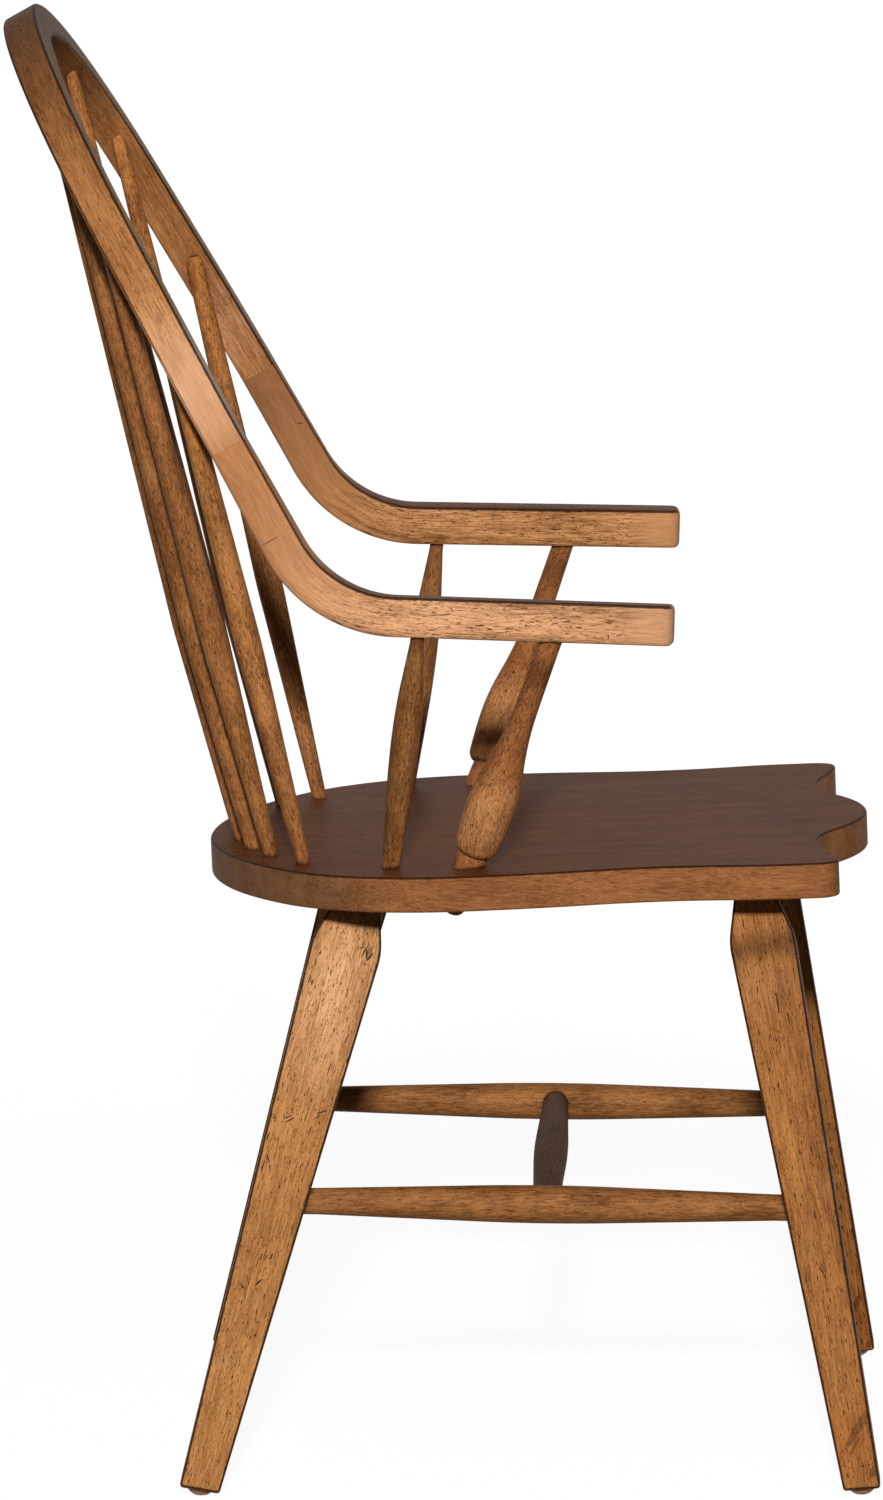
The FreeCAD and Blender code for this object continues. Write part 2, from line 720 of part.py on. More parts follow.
post_shape.line_to(0, -foot_spare)
post_blank = turning("post_blank", post_foot, post_top, post_shape.pieces)

under_seat_top = doc.addObject("Part::Box", "post_trim")
under_seat_top.Length = 4 * foot_spare
under_seat_top.Width = 4 * foot_spare
under_seat_top.Height = 2 * foot_spare
under_seat_top.Placement = Placement(
    post_foot - seat_place.Rotation.multVec(Vector(2, 2, 2) * foot_spare),
    seat_place.Rotation)
post_trimmed = cut_away("post_trimmed", post_blank, under_seat_top)

through = seat_thickness / post_axis.dot(seat_up)
tenon_length = through + post_tenon_stand
tenon_start = post_foot - post_axis * tenon_length
tenon_root = 5
post_tenon = rod("post_tenon", tenon_start, post_axis, "Sizes.post_tenon_dia / 2",
                 tenon_length + tenon_root)
doc.recompute()
tenon_end = doc.addObject("Part::Fillet", "post_tenon_rounded")
tenon_end.Base = post_tenon
rounding = post_tenon_dia / 3
end_edges = [number for number, edge in enumerate(post_tenon.Shape.Edges, start=1)
             if edge.CenterOfMass.distanceToPoint(tenon_start) < 1e-3]
tenon_end.Edges = [(number, rounding, rounding) for number in end_edges]
doc.recompute()
arm_post = fuse("arm_post", post_trimmed, tenon_end)
seat_tools.append(rod("post_seat_socket", tenon_start, post_axis,
                      "Sizes.post_tenon_dia / 2 + Sizes.glue_gap",
                      tenon_length + seat_thickness))
arm_tools.append(rod("post_arm_socket", post_top - post_axis * side_run_out, post_axis,
                     "Sizes.post_top_dia / 2 + Sizes.glue_gap",
                     side_run_out + post_socket + socket_bottom))
finish_pair("arm_post", arm_post)

# A round tenon on the upper end of each arm fits a socket in the end of the bow.
bow_tenon_root = 5
bow_tenon = rod("bow_tenon", joint_middle + joint_down * bow_tenon_root, joint_down * -1,
                "Sizes.bow_tenon_dia / 2",
                bow_tenon_root + bow_tenon_length)
bow_socket = rod("bow_socket", joint_middle + joint_down * bow_tenon_root,
                 joint_down * -1, "Sizes.bow_tenon_dia / 2 + Sizes.glue_gap",
                 bow_tenon_root + bow_tenon_length + socket_bottom)
bow_tools.append(bow_socket)

# Back bow: a bent bar in one plane, with its long edges rounded.
bow_body = new_body("bow_blank")
outline = outer_edge.pieces + outer_edge.mirrored() + inner_edge.pieces + inner_edge.mirrored()
for side in (-1, 1):
    outline.append([(side * outer_edge.x, outer_edge.y), (side * inner_edge.x, inner_edge.y)])
bow_sketch = draw(bow_body, "bow_outline", "XY_Plane", outline)
bow_pad = pad_up(bow_body, bow_sketch, "Sizes.bow_depth")


def flat_in_z(edge):
    levels = [vertex.Z for vertex in edge.Vertexes]
    return max(levels) - min(levels) < 1e-6


def long_bow_edge(edge):
    """Edges of the two broad faces, without those across the bow's ends."""
    middle = edge.valueAt((edge.FirstParameter + edge.LastParameter) / 2)
    end = Vector(math.copysign((outer_edge.x + inner_edge.x) / 2, middle.x),
                 (outer_edge.y + inner_edge.y) / 2, middle.z)
    return flat_in_z(edge) and middle.distanceToPoint(end) > 1e-3


round_edges(bow_body, bow_pad, long_bow_edge, "Sizes.bow_edge_radius")
bow_body.Placement = bow_place
doc.recompute()
left_tools = []
for tool in bow_tools[1:]:
    twin = doc.addObject("Part::Mirroring", tool.Name + "_twin")
    twin.Source = tool
    twin.Normal = Vector(1, 0, 0)
    left_tools.append(twin)
bow_holes = gather("bow_holes", bow_tools + left_tools)
finish("back_bow", cut_away("back_bow", bow_body, bow_holes))

# Right arm: the bend and the level part are sawn from one board, and the stub above
# them is shaped to meet the end of the bow.
arm_body = new_body("arm_blank")
upper_line = arm_line(0)
lower_line = arm_line(arm_depth)
arm_outline = upper_line.pieces + lower_line.pieces
for index in (0, -1):
    pick = 0 if index == 0 else -1
    arm_outline.append([upper_line.pieces[index][pick], lower_line.pieces[index][pick]])
arm_sketch = draw(arm_body, "arm_outline", "XY_Plane", arm_outline)
arm_pad = pad_up(arm_body, arm_sketch, "Sizes.bow_width", backwards=True)
bend_start = Vector(*upper_line.pieces[0][0], 0)
bend_start_low = Vector(*lower_line.pieces[0][0], 0)


def not_at_bend_start(edge):
    """All edges but the four round the face where the stub goes on."""
    line = (bend_start_low - bend_start).normalize()
    for vertex in edge.Vertexes:
        flat = Vector(vertex.X, vertex.Y, 0) - bend_start
        if abs(flat.cross(line).Length) > 1e-3:
            return True
    return False


round_edges(arm_body, arm_pad, not_at_bend_start, "Sizes.bow_edge_radius")
arm_body.Placement = arm_place
doc.recompute()


def rounded_section(name, corner, across, down):
    """Rectangle with rounded corners, from one corner along two edges."""
    radius = bow_edge_radius
    wide = across * bow_width
    deep = down * bow_depth
    corners = [corner, corner + wide, corner + wide + deep, corner + deep]
    edges = []
    for number in range(4):
        here = corners[number]
        following = corners[(number + 1) % 4]
        beyond = corners[(number + 2) % 4]
        along = (following - here).normalize()
        turned = (beyond - following).normalize()
        edges.append(Part.LineSegment(here + along * radius,
                                      following - along * radius).toShape())
        bulge = following + (turned - along) * (radius * (1 - math.sqrt(0.5)))
        edges.append(Part.Arc(following - along * radius, bulge,
                              following + turned * radius).toShape())
    feature = doc.addObject("Part::Feature", name)
    feature.Shape = Part.Wire(Part.__sortEdges__(edges))
    return feature


bend_down = arm_rotation.multVec((bend_start_low - bend_start).normalize())
stub = doc.addObject("Part::Loft", "arm_stub")
stub.Sections = [rounded_section("stub_top", joint_corner, joint_inward, -bow_front),
                 rounded_section("stub_foot", bend_corner, -arm_outward, bend_down)]
stub.Solid = True
stub.Ruled = True
doc.recompute()
arm_shaped = fuse("arm_shaped", arm_body, stub)
arm_whole = fuse("arm_whole", arm_shaped, bow_tenon)
finish_pair("arm", cut_away("arm", arm_whole, gather("arm_holes", arm_tools)))


# Legs: square in section and tapered to the foot, with curved shoulders under the seat.
# Each is cut flush with the seat's underside, where its tenon goes on, and its foot
# is bevelled. A glide is nailed under it.
class Leg:
    def __init__(self, name, ground, splay, rake, bevel, foot_width, shoulder_width):
        self.name = name
        self.bevel = bevel
        self.half_foot = foot_width / 2
        self.ground = ground
        self.slant = Vector(math.tan(math.radians(splay)), math.tan(math.radians(rake)), 1)
        self.axis = Vector(self.slant).normalize()
        self.foot = self.at_height(glide_height)
        under = seat_point(0, 0, seat_thickness)
        gap = (under - self.ground).dot(seat_up)
        self.seat = self.ground + self.axis * (gap / self.axis.dot(seat_up))
        self.length = (self.seat - self.ground).Length
        self.taper = ((shoulder_width / 2 - self.half_foot)
                      / (self.length - leg_shoulder_drop))

    def at_height(self, level):
        return self.ground + self.slant * level

    def half_width(self, level):
        along = self.slant.Length * level
        return self.half_foot + self.taper * along


def cut_block(name, corner_drop, place):
    """Large block on one side of a plane, to trim a leg with."""
    side = 10 * leg_thickness
    block = doc.addObject("Part::Box", name)
    block.Length = side
    block.Width = side
    block.Height = side
    shift = Vector(-side / 2, -side / 2, corner_drop * side)
    block.Placement = place.multiply(Placement(shift, Rotation()))
    return block


def make_leg(leg, stretcher_hole):
    spare = leg_thickness
    half_foot = leg.half_foot
    shoulder = leg.length - leg_shoulder_drop
    edge = Path(half_foot - leg.taper * spare, -spare, 90)
    edge.line_to(half_foot + leg.taper * shoulder, shoulder)
    edge.arc(leg_shoulder_radius, leg_shoulder_angle)
    edge.line(leg_shoulder_drop)
    outline = edge.pieces + edge.mirrored()
    outline.append([(half_foot - leg.taper * spare, -spare),
                    (leg.taper * spare - half_foot, -spare)])
    outline.append([(edge.x, edge.y), (-edge.x, edge.y)])
    body = new_body(leg.name + "_blank")
    sketch = draw(body, leg.name + "_outline", "YZ_Plane", outline)
    pad_up(body, sketch, "Sizes.leg_thickness")
    upright = turn_to(leg.axis)
    half_thick = upright.multVec(Vector(leg_thickness / 2, 0, 0))
    body.Placement = Placement(leg.ground - half_thick, upright)
    floor_cut = Placement(leg.foot, Rotation(Vector(1, 0, 0), -leg.bevel))
    seat_cut = Placement(leg.seat, seat_place.Rotation)
    trims = gather(leg.name + "_trims", [
        cut_block(leg.name + "_foot_trim", -1, floor_cut),
        cut_block(leg.name + "_top_trim", 0, seat_cut)])
    board = cut_away(leg.name + "_board", body, trims)
    under = leg.seat.dot(seat_up)
    chosen = [number for number, edge_shape in enumerate(board.Shape.Edges, start=1)
              if min(abs(vertex.Point.dot(seat_up) - under)
                     for vertex in edge_shape.Vertexes) > 1e-3
              or max(abs(vertex.Point.dot(seat_up) - under)
                     for vertex in edge_shape.Vertexes) > 1e-3]
    rounded = doc.addObject("Part::Fillet", leg.name + "_rounded")
    rounded.Base = board
    radius = leg_edge_radius
    rounded.Edges = [(number, radius, radius) for number in chosen]
    doc.recompute()
    root = leg_tenon_dia / 2
    tenon = rod(leg.name + "_tenon", leg.seat - leg.axis * root, leg.axis,
                "Sizes.leg_tenon_dia / 2", root + leg_tenon_length)
    whole = fuse(leg.name + "_whole", rounded, tenon)
    seat_tools.append(rod(leg.name + "_seat_socket", leg.seat - leg.axis * root, leg.axis,
                          "Sizes.leg_tenon_dia / 2 + Sizes.glue_gap",
                          root + leg_tenon_length + socket_bottom))
    nail_line = floor_cut.Rotation.multVec(Vector(0, 0, 1))
    nail_hole = rod(leg.name + "_nail_hole", leg.foot - nail_line * root, nail_line,
                    "Sizes.nail_dia / 2 + Sizes.glue_gap",
                    root + nail_length + socket_bottom)
    holes = gather(leg.name + "_holes", [stretcher_hole, nail_hole])
    finish_pair(leg.name, cut_away(leg.name, whole, holes))
    return floor_cut


def make_glide(leg, floor_cut):
    radius = glide_dia / 2
    dome = Path(0, nail_length, 0)
    dome.line_to(nail_dia / 2, nail_length)
    dome.line_to(nail_dia / 2, 0)
    dome.line_to(radius, 0)
    dome.line_to(radius, -glide_rim)
    cap = glide_dome - glide_rim
    ball = (radius ** 2 + cap ** 2) / (2 * cap)
    half_turn = math.asin(radius / ball) / 2
    dome.pieces.append([(radius, -glide_rim),
                        (ball * math.sin(half_turn),
                         ball - glide_dome - ball * math.cos(half_turn)),
                        (0, -glide_dome)])
    dome.move(0, -glide_dome)
    dome.line_to(0, nail_length)
    name = leg.name.replace("leg", "glide")
    body = new_body(name + "_blank")
    spin(body, draw(body, name + "_profile", "XZ_Plane", dome.pieces))
    body.Placement = floor_cut
    level = Placement(Vector(leg.foot.x, leg.foot.y, 0), Rotation())
    worn = cut_away(name, body, cut_block(name + "_floor", -1, level))
    finish_pair(name, worn)


front_leg = Leg("front_leg",
                Vector(-seat_ear_width / 2 - front_foot_stand, -front_foot_reach, 0),
                front_splay_angle, front_rake_angle, front_bevel_angle,
                front_leg_foot_width, front_leg_shoulder_width)
rear_leg = Leg("rear_leg",
               Vector(-seat_hip_width / 2 - rear_foot_stand, rear_foot_back, 0),
               rear_splay_angle, -rear_rake_angle, -rear_bevel_angle,
               rear_leg_foot_width, rear_leg_shoulder_width)

# Stretchers: one on each side between the legs, and one across between those.
rear_joint = rear_leg.at_height(stretcher_rear_height)
front_joint = front_leg.at_height(stretcher_front_height)
side_line = (front_joint - rear_joint).normalize()


def leg_face(leg, joint, outward):
    """Where the stretcher's axis leaves the leg's edge face."""
    across = turn_to(leg.axis).multVec(Vector(0, 1, 0))
    return joint + outward * (leg.half_width(joint.z) / abs(across.dot(outward)))


rear_face = leg_face(rear_leg, rear_joint, side_line)
front_face = leg_face(front_leg, front_joint, side_line * -1)
side_start = rear_face + side_line * joint_run_out
side_end = front_face - side_line * joint_run_out
socketed = joint_run_out + stretcher_socket
side_stretcher = swelled_rod("side_stretcher", side_start, side_end, socketed, socketed,
                             (stretcher_end_dia, stretcher_belly_dia,
                              stretcher_end_dia, None), stretcher_blend)
clear_end = "Sizes.stretcher_end_dia / 2 + Sizes.glue_gap"
hole_length = socketed + socket_bottom
rear_hole = rod("rear_stretcher_hole", side_start, side_line * -1, clear_end, hole_length)
front_hole = rod("front_stretcher_hole", side_end, side_line, clear_end, hole_length)

cross_middle = (side_start + side_end) * 0.5
cross_stand = stretcher_belly_dia / 2 + joint_run_out
cross_start = cross_middle + Vector(cross_stand, 0, 0)
cross_end = Vector(-cross_start.x, cross_start.y, cross_start.z)
cross_socketed = joint_run_out + cross_socket
cross_stretcher = swelled_rod("cross_stretcher", cross_start, cross_end, cross_socketed,
                              cross_socketed,
                              (stretcher_end_dia, cross_belly_dia,
                               stretcher_end_dia, None), cross_blend)
finish("cross_stretcher", cross_stretcher)
cross_hole = rod("cross_hole", cross_start, Vector(-1, 0, 0), clear_end,
                 cross_socketed + socket_bottom)
finish_pair("side_stretcher", cut_away("side_stretcher_bored", side_stretcher, cross_hole))

for leg, hole in ((front_leg, front_hole), (rear_leg, rear_hole)):
    make_glide(leg, make_leg(leg, hole))

# Seat: one plank, D-shaped behind, waisted at the sides, with a lobe and two scoops
# along its front edge. The outline is drawn for one half and mirrored.
half = Path(0, seat_back_reach, 0)
sweep = math.radians(seat_back_sweep)
half.arc(seat_back_radius, -seat_back_sweep)
half.arc((seat_hip_width / 2 - half.x) / (1 - math.sin(sweep)),
         seat_back_sweep - 90)
half.ogee_to(seat_waist_width / 2, -seat_waist_reach, 0.65)
half.heading = -math.pi / 2
half.ogee_to(seat_ear_width / 2, -seat_ear_reach, 0.6)
half.heading = -math.pi / 2
half.line(seat_corner_reach - seat_corner_radius - seat_ear_reach)
half.arc(seat_corner_radius, -90)
half.ogee_to(seat_notch_offset, -seat_notch_reach, 0.5)
half.heading = math.pi
half.ogee_to(0, -seat_lobe_reach, 0.35)

seat_body = new_body("seat_blank")
seat_sketch = draw(seat_body, "seat_outline", "XY_Plane", half.pieces + half.mirrored())
seat_pad = pad_up(seat_body, seat_sketch, "Sizes.seat_thickness", backwards=True)
round_edges(seat_body, seat_pad, flat_in_z, "Sizes.seat_edge_radius")
seat_body.Placement = seat_place
doc.recompute()
left_sockets = []
for tool in seat_tools[1:]:
    twin = doc.addObject("Part::Mirroring", tool.Name + "_twin")
    twin.Source = tool
    twin.Normal = Vector(1, 0, 0)
    left_sockets.append(twin)
seat_holes = gather("seat_holes", seat_tools + left_sockets)
finish("seat", cut_away("seat", seat_body, seat_holes))

# Check every object and every node before anything is written.
doc.recompute()
for item in doc.Objects:
    if "Invalid" in item.State or "Error" in item.State:
        raise RuntimeError("failed object " + item.Label)
for name, feature in nodes.items():
    shape = feature.Shape
    if shape.isNull() or not shape.isValid() or len(shape.Solids) != 1:
        raise RuntimeError("bad shape " + name)

os.makedirs("parts", exist_ok=True)
for name, feature in nodes.items():
    feature.Shape.exportStep(os.path.join("parts", name + ".step"))
print(len(nodes), "nodes written")
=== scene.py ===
import math

import bmesh
import bpy
from mathutils import Matrix, Vector


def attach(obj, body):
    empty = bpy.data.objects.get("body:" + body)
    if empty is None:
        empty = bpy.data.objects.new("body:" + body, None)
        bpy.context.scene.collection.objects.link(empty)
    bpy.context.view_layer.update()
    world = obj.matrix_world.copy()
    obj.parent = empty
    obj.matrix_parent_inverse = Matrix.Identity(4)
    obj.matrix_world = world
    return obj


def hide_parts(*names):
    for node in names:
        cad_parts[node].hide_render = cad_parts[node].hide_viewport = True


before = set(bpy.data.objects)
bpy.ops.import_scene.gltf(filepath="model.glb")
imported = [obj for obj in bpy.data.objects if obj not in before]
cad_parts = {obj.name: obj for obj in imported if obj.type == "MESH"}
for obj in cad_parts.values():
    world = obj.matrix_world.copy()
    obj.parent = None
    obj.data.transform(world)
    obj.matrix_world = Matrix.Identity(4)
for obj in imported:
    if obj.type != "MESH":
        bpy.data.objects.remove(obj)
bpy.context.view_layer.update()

# Windsor armchair, dressed for its photograph. Metres, +Z up, the sitter faces -Y, and
# right and left are the sitter's. The sizes repeat the ones that the solids are made of.
MM = 0.001
SEAT_HEIGHT = 445.8 * MM
SEAT_SLOPE = math.radians(2.32)
SEAT_BACK = 171.6 * MM

BOW_TOP = 1051 * MM
BOW_BACK = 322 * MM
BOW_LEAN = math.radians(29.5)
BOW_RADIUS = 237.6 * MM
BOW_FLARE = math.radians(17.76)
BOW_STRAIGHT = 82.6 * MM
BOW_RETURN = 547 * MM
BOW_END_FLARE = math.radians(8.4)
BOW_DEPTH = 27 * MM
BOW_WIDTH = 27.2 * MM
BOW_ROUNDING = 3 * MM

ARM_DEPTH = 28.8 * MM
ARM_FLARE = math.radians(4.1)
ARM_ROLL = math.radians(3.06)
ARM_STUB = 46.7 * MM
ARM_BEND = 80.4 * MM
ARM_DROP = math.radians(1.2)
ARM_FRONT = 170.4 * MM
TIP_ROUNDING = 9 * MM  # of an arm's front corners, seen from above
TIP_EDGE = 4 * MM  # of the front end's upper and lower edges, seen from the side

# The back spindles stand on an arc, a step inside the seat's rear edge. From the middle one
# outwards: the feet's turns along the arc in degrees, and the tops' ways from the middle.
SPINDLE_ARC = 290 * MM
SPINDLE_INSET = 22 * MM
SPINDLE_FEET = (0, 7.7, 16.8, 25.1, 35)
SPINDLE_TOPS = (0, 60 * MM, 120 * MM, 181 * MM, 222 * MM)
SPINDLE_FOOT_DEPTH = 3 * MM
SPINDLE_TOP_DEPTH = 8 * MM
# Diameters at foot, belly and top, the belly's height, and the height at which the taper
# above it is down to the top's diameter.
SPINDLE_TURNING = (10.4 * MM, 19.4 * MM, 8 * MM, 168 * MM, 598 * MM)

# Middle lines of the straight pieces on the right: foot on the seat and top under the arm,
# or rear end and run, in millimetres.
POST_LINE = (-214.5, -23.2), (-282.5, -83.3, 619.7)
ARM_SPINDLE_LINE = (-205, 33.2), (-275.6, 11.9, 621.7)
SIDE_STRETCHER_REAR = (-222.6, 114.5, 204)
SIDE_STRETCHER_RUN = (-3.6, -385.2, -3.2)
CROSS_STRETCHER_HEIGHT = 200 * MM

# How finely curves are divided.
BOW_ARC_STEPS = 40
BOW_STRAIGHT_STEPS = 6
BOW_RETURN_STEPS = 14
STUB_STEPS = 10
BEND_STEPS = 24
LEVEL_STEPS = 30
TIP_STEPS = 12
CORNER_POINTS = 6
TURNING_RINGS = 72
TURNING_SIDES = 40
SMOOTH_BELOW = math.radians(35)

RIGHT, LEFT = -1, 1
AMBIENT = 0.02  # of the light that white would need, from all around

# The camera, as fitted to the photograph's outlines: its place, its turns aside and down, and
# its focal length in pixels of a picture that is 1500 pixels high.
CAMERA_PLACE = (-9.390, -0.2311, 1.8186)
CAMERA_YAW = -0.0247855
CAMERA_PITCH = 0.1393059
CAMERA_FOCAL_LENGTH = 12895.36
PICTURE_HEIGHT = 1500
FILM_SIZE = 36

scene = bpy.context.scene


# Camera and light

def photograph_camera():
    """The camera stands on the sitter's right, 9.4 m away and 1.8 m up, and looks a little
    downwards."""
    level = math.cos(CAMERA_PITCH)
    forward = Vector((level * math.cos(CAMERA_YAW), -level * math.sin(CAMERA_YAW),
                      -math.sin(CAMERA_PITCH)))
    data = bpy.data.cameras.new("photograph_camera")
    data.sensor_width = FILM_SIZE
    data.lens = CAMERA_FOCAL_LENGTH * FILM_SIZE / PICTURE_HEIGHT
    data.clip_start = 0.1
    data.clip_end = 200
    camera = bpy.data.objects.new("photograph_camera", data)
    scene.collection.objects.link(camera)
    camera.location = CAMERA_PLACE
    camera.rotation_mode = "QUATERNION"
    camera.rotation_quaternion = forward.to_track_quat("-Z", "Y")
    scene.camera = camera


def soft_lamp(name, place, aim, size, power):
    """A square lamp, its size in metres and its power in watts."""
    data = bpy.data.lights.new(name, "AREA")
    data.shape = "SQUARE"
    data.size = size
    data.energy = power
    lamp = bpy.data.objects.new(name, data)
    scene.collection.objects.link(lamp)
    lamp.location = place
    lamp.rotation_euler = (Vector(aim) - Vector(place)).to_track_quat("-Z", "Y").to_euler()


# Node helpers

def link(tree, source, target):
    """From an output to an input."""
    tree.links.new(source, target)


def feed(tree, socket, value):
    """A socket takes another node's output, or a plain value."""
    if isinstance(value, bpy.types.NodeSocket):
        link(tree, value, socket)
    else:
        socket.default_value = value


def math_node(tree, operation, first, second=0.0, third=0.0, clamp=False):
    node = tree.nodes.new("ShaderNodeMath")
    node.operation = operation
    node.use_clamp = clamp
    for socket, value in zip(node.inputs, (first, second, third)):
        feed(tree, socket, value)
    return node.outputs[0]


def vector_node(tree, operation, first, second=(0, 0, 0), scale=1.0):
    node = tree.nodes.new("ShaderNodeVectorMath")
    node.operation = operation
    feed(tree, node.inputs[0], first)
    if operation == "SCALE":
        feed(tree, node.inputs["Scale"], scale)
    else:
        feed(tree, node.inputs[1], second)
    return node.outputs["Value" if operation in ("DOT_PRODUCT", "LENGTH") else "Vector"]


def fade(tree, value, start, end):
    """0 at start and 1 at end, with soft turns, either way round."""
    node = tree.nodes.new("ShaderNodeMapRange")
    node.interpolation_type = "SMOOTHSTEP"
    feed(tree, node.inputs["Value"], value)
    node.inputs["From Min"].default_value = start
    node.inputs["From Max"].default_value = end
    return node.outputs[0]


def mix_colour(tree, share, first, second, blend="MIX"):
    node = tree.nodes.new("ShaderNodeMix")
    node.data_type = "RGBA"
    node.blend_type = blend
    feed(tree, node.inputs["Factor"], share)
    feed(tree, node.inputs["A"], first)
    feed(tree, node.inputs["B"], second)
    return node.outputs["Result"]


def cloud(tree, place, detail=2.0, roughness=0.5, distortion=0.0, output="Fac"):
    """Soft noise, about 0.5 on the whole, or three of them as a colour."""
    node = tree.nodes.new("ShaderNodeTexNoise")
    feed(tree, node.inputs["Vector"], place)
    node.inputs["Scale"].default_value = 1
    node.inputs["Detail"].default_value = detail
    node.inputs["Roughness"].default_value = roughness
    node.inputs["Distortion"].default_value = distortion
    return node.outputs[output]


def cells(tree, place):
    """How far the nearest cell's middle is, and a colour that each cell has to itself."""
    node = tree.nodes.new("ShaderNodeTexVoronoi")
    feed(tree, node.inputs["Vector"], place)
    node.inputs["Scale"].default_value = 1
    return node.outputs["Distance"], node.outputs["Color"]


# The stained wood

# The layers of its figure: how many cells a metre holds across and along the grain, the
# noise's detail, roughness and distortion, and the layer's weight in the tone.
FIGURE_LAYERS = {
    "fibres": (2100, 70, 3.0, 0.65, 0.0, 2.4),
    "flecks": (620, 70, 2.0, 0.6, 0.0, 1.6),
    "bands": (95, 4.5, 3.0, 0.55, 0.6, 1.2),
    "blotches": (34, 13, 2.0, 0.5, 0.0, 1.3),
}
PORE_TONE = (0.13, 0.11, 0.1, 1)  # a share of the dark tone


def wood_figure():
    """Rubberwood under a golden brown stain: fibres, growth bands, blotches and pores.
    The grain runs along Z of the incoming place, which is in metres."""
    tree = bpy.data.node_groups.new("stained_wood_figure", "ShaderNodeTree")
    for name, kind, default in (
            ("Grain place", "NodeSocketVector", None), ("Seed", "NodeSocketFloat", 0.0),
            ("Light tone", "NodeSocketColor", (0.6, 0.25, 0.08, 1)),
            ("Dark tone", "NodeSocketColor", (0.3, 0.11, 0.03, 1)),
            ("Pore share", "NodeSocketFloat", 0.5)):
        socket = tree.interface.new_socket(name, in_out="INPUT", socket_type=kind)
        if default is not None:
            socket.default_value = default
    for name, kind in (("Colour", "NodeSocketColor"), ("Roughness", "NodeSocketFloat"),
                       ("Height", "NodeSocketFloat")):
        tree.interface.new_socket(name, in_out="OUTPUT", socket_type=kind)
    given = tree.nodes.new("NodeGroupInput")
    made = tree.nodes.new("NodeGroupOutput")
    shift = vector_node(tree, "SCALE", (1.37, 0.71, 2.3), scale=given.outputs["Seed"])
    place = vector_node(tree, "ADD", given.outputs["Grain place"], shift)

    def stretched(across, along):
        return vector_node(tree, "MULTIPLY", place, (across, across, along))

    layers = {}
    tone = 0.5
    for name, (across, along, detail, roughness, distortion, weight) in FIGURE_LAYERS.items():
        layers[name] = cloud(tree, stretched(across, along), detail, roughness, distortion)
        part = math_node(tree, "SUBTRACT", layers[name], 0.5)
        tone = math_node(tree, "MULTIPLY_ADD", part, weight, tone)
    tone = math_node(tree, "ADD", tone, 0.0, clamp=True)
    colour = mix_colour(tree, tone, given.outputs["Dark tone"], given.outputs["Light tone"])

    # Pores are thin dashes along the grain, long ones in crowds and short ones all over. A
    # cell holds one long pore, of the cell's own width, where its dice and the crowd say so.
    crowd = fade(tree, cloud(tree, stretched(60, 9)), 0.62, 0.36)
    sway = cloud(tree, stretched(500, 120), output="Color")
    sway = vector_node(tree, "SCALE", sway, scale=1.6)
    away, tag = cells(tree, vector_node(tree, "ADD", stretched(830, 115), sway))
    dice = tree.nodes.new("ShaderNodeSeparateXYZ")
    link(tree, tag, dice.inputs[0])
    size = math_node(tree, "MULTIPLY_ADD", dice.outputs["X"], 0.3, 0.16)
    long_pores = fade(tree, math_node(tree, "DIVIDE", away, size), 1.0, 0.6)
    chosen = math_node(tree, "MULTIPLY_ADD", crowd, 0.75, dice.outputs["Y"])
    long_pores = math_node(tree, "MULTIPLY", long_pores, fade(tree, chosen, 0.72, 0.76))
    dots = cloud(tree, stretched(1000, 380), 2.0, 0.6)
    dots = math_node(tree, "MULTIPLY_ADD", crowd, -0.07, dots)
    specks = math_node(tree, "MULTIPLY", fade(tree, dots, 0.58, 0.61), 0.6)
    pores = math_node(tree, "MAXIMUM", long_pores, specks)
    pores = math_node(tree, "MULTIPLY", pores, given.outputs["Pore share"])
    deep = mix_colour(tree, 1.0, given.outputs["Dark tone"], PORE_TONE, "MULTIPLY")
    colour = mix_colour(tree, pores, colour, deep)
    link(tree, colour, made.inputs["Colour"])

    rough = math_node(tree, "MULTIPLY_ADD", layers["fibres"], 0.2, 0.45)
    rough = math_node(tree, "MULTIPLY_ADD", pores, 0.25, rough)
    link(tree, rough, made.inputs["Roughness"])
    height = math_node(tree, "MULTIPLY_ADD", layers["fibres"], 0.12, 0.5)
    height = math_node(tree, "MULTIPLY_ADD", layers["flecks"], 0.15, height)
    height = math_node(tree, "MULTIPLY_ADD", pores, -0.3, height)
    link(tree, height, made.inputs["Height"])
    return tree


FIGURE = wood_figure()
# The dark tone that glaze, marks and painted shade go to: painted contact shade where pieces
# meet, and painted shade on upward arrises.
GLAZE_AND_SHADE_TONE = (0.022, 0.009, 0.005, 1)
GLAZE_AND_SHADE_STRENGTH = 0.9
GLAZE_AND_SHADE_REACH = 4 * MM  # how near another surface is where it stays
FILLED_PORES = 0.85  # how much of the pores a filled stretch loses
FILLED_TONE = 0.65  # how far its colour goes to the mean tone
GRAIN_BUMP = 0.3 * MM


def patch(tree, place, middle, radii, turn=0.0, hard=0.0):
    """1 in the middle of an egg shape and 0 outside it. A turn tilts it on the broad face,
    and a hard one keeps its full strength almost to its rim."""
    node = tree.nodes.new("ShaderNodeMapping")
    node.vector_type = "TEXTURE"
    node.inputs["Location"].default_value = middle
    node.inputs["Rotation"].default_value = (turn, 0, 0)
    node.inputs["Scale"].default_value = radii
    link(tree, place, node.inputs["Vector"])
    return fade(tree, vector_node(tree, "LENGTH", node.outputs[0]), 1.0, hard)


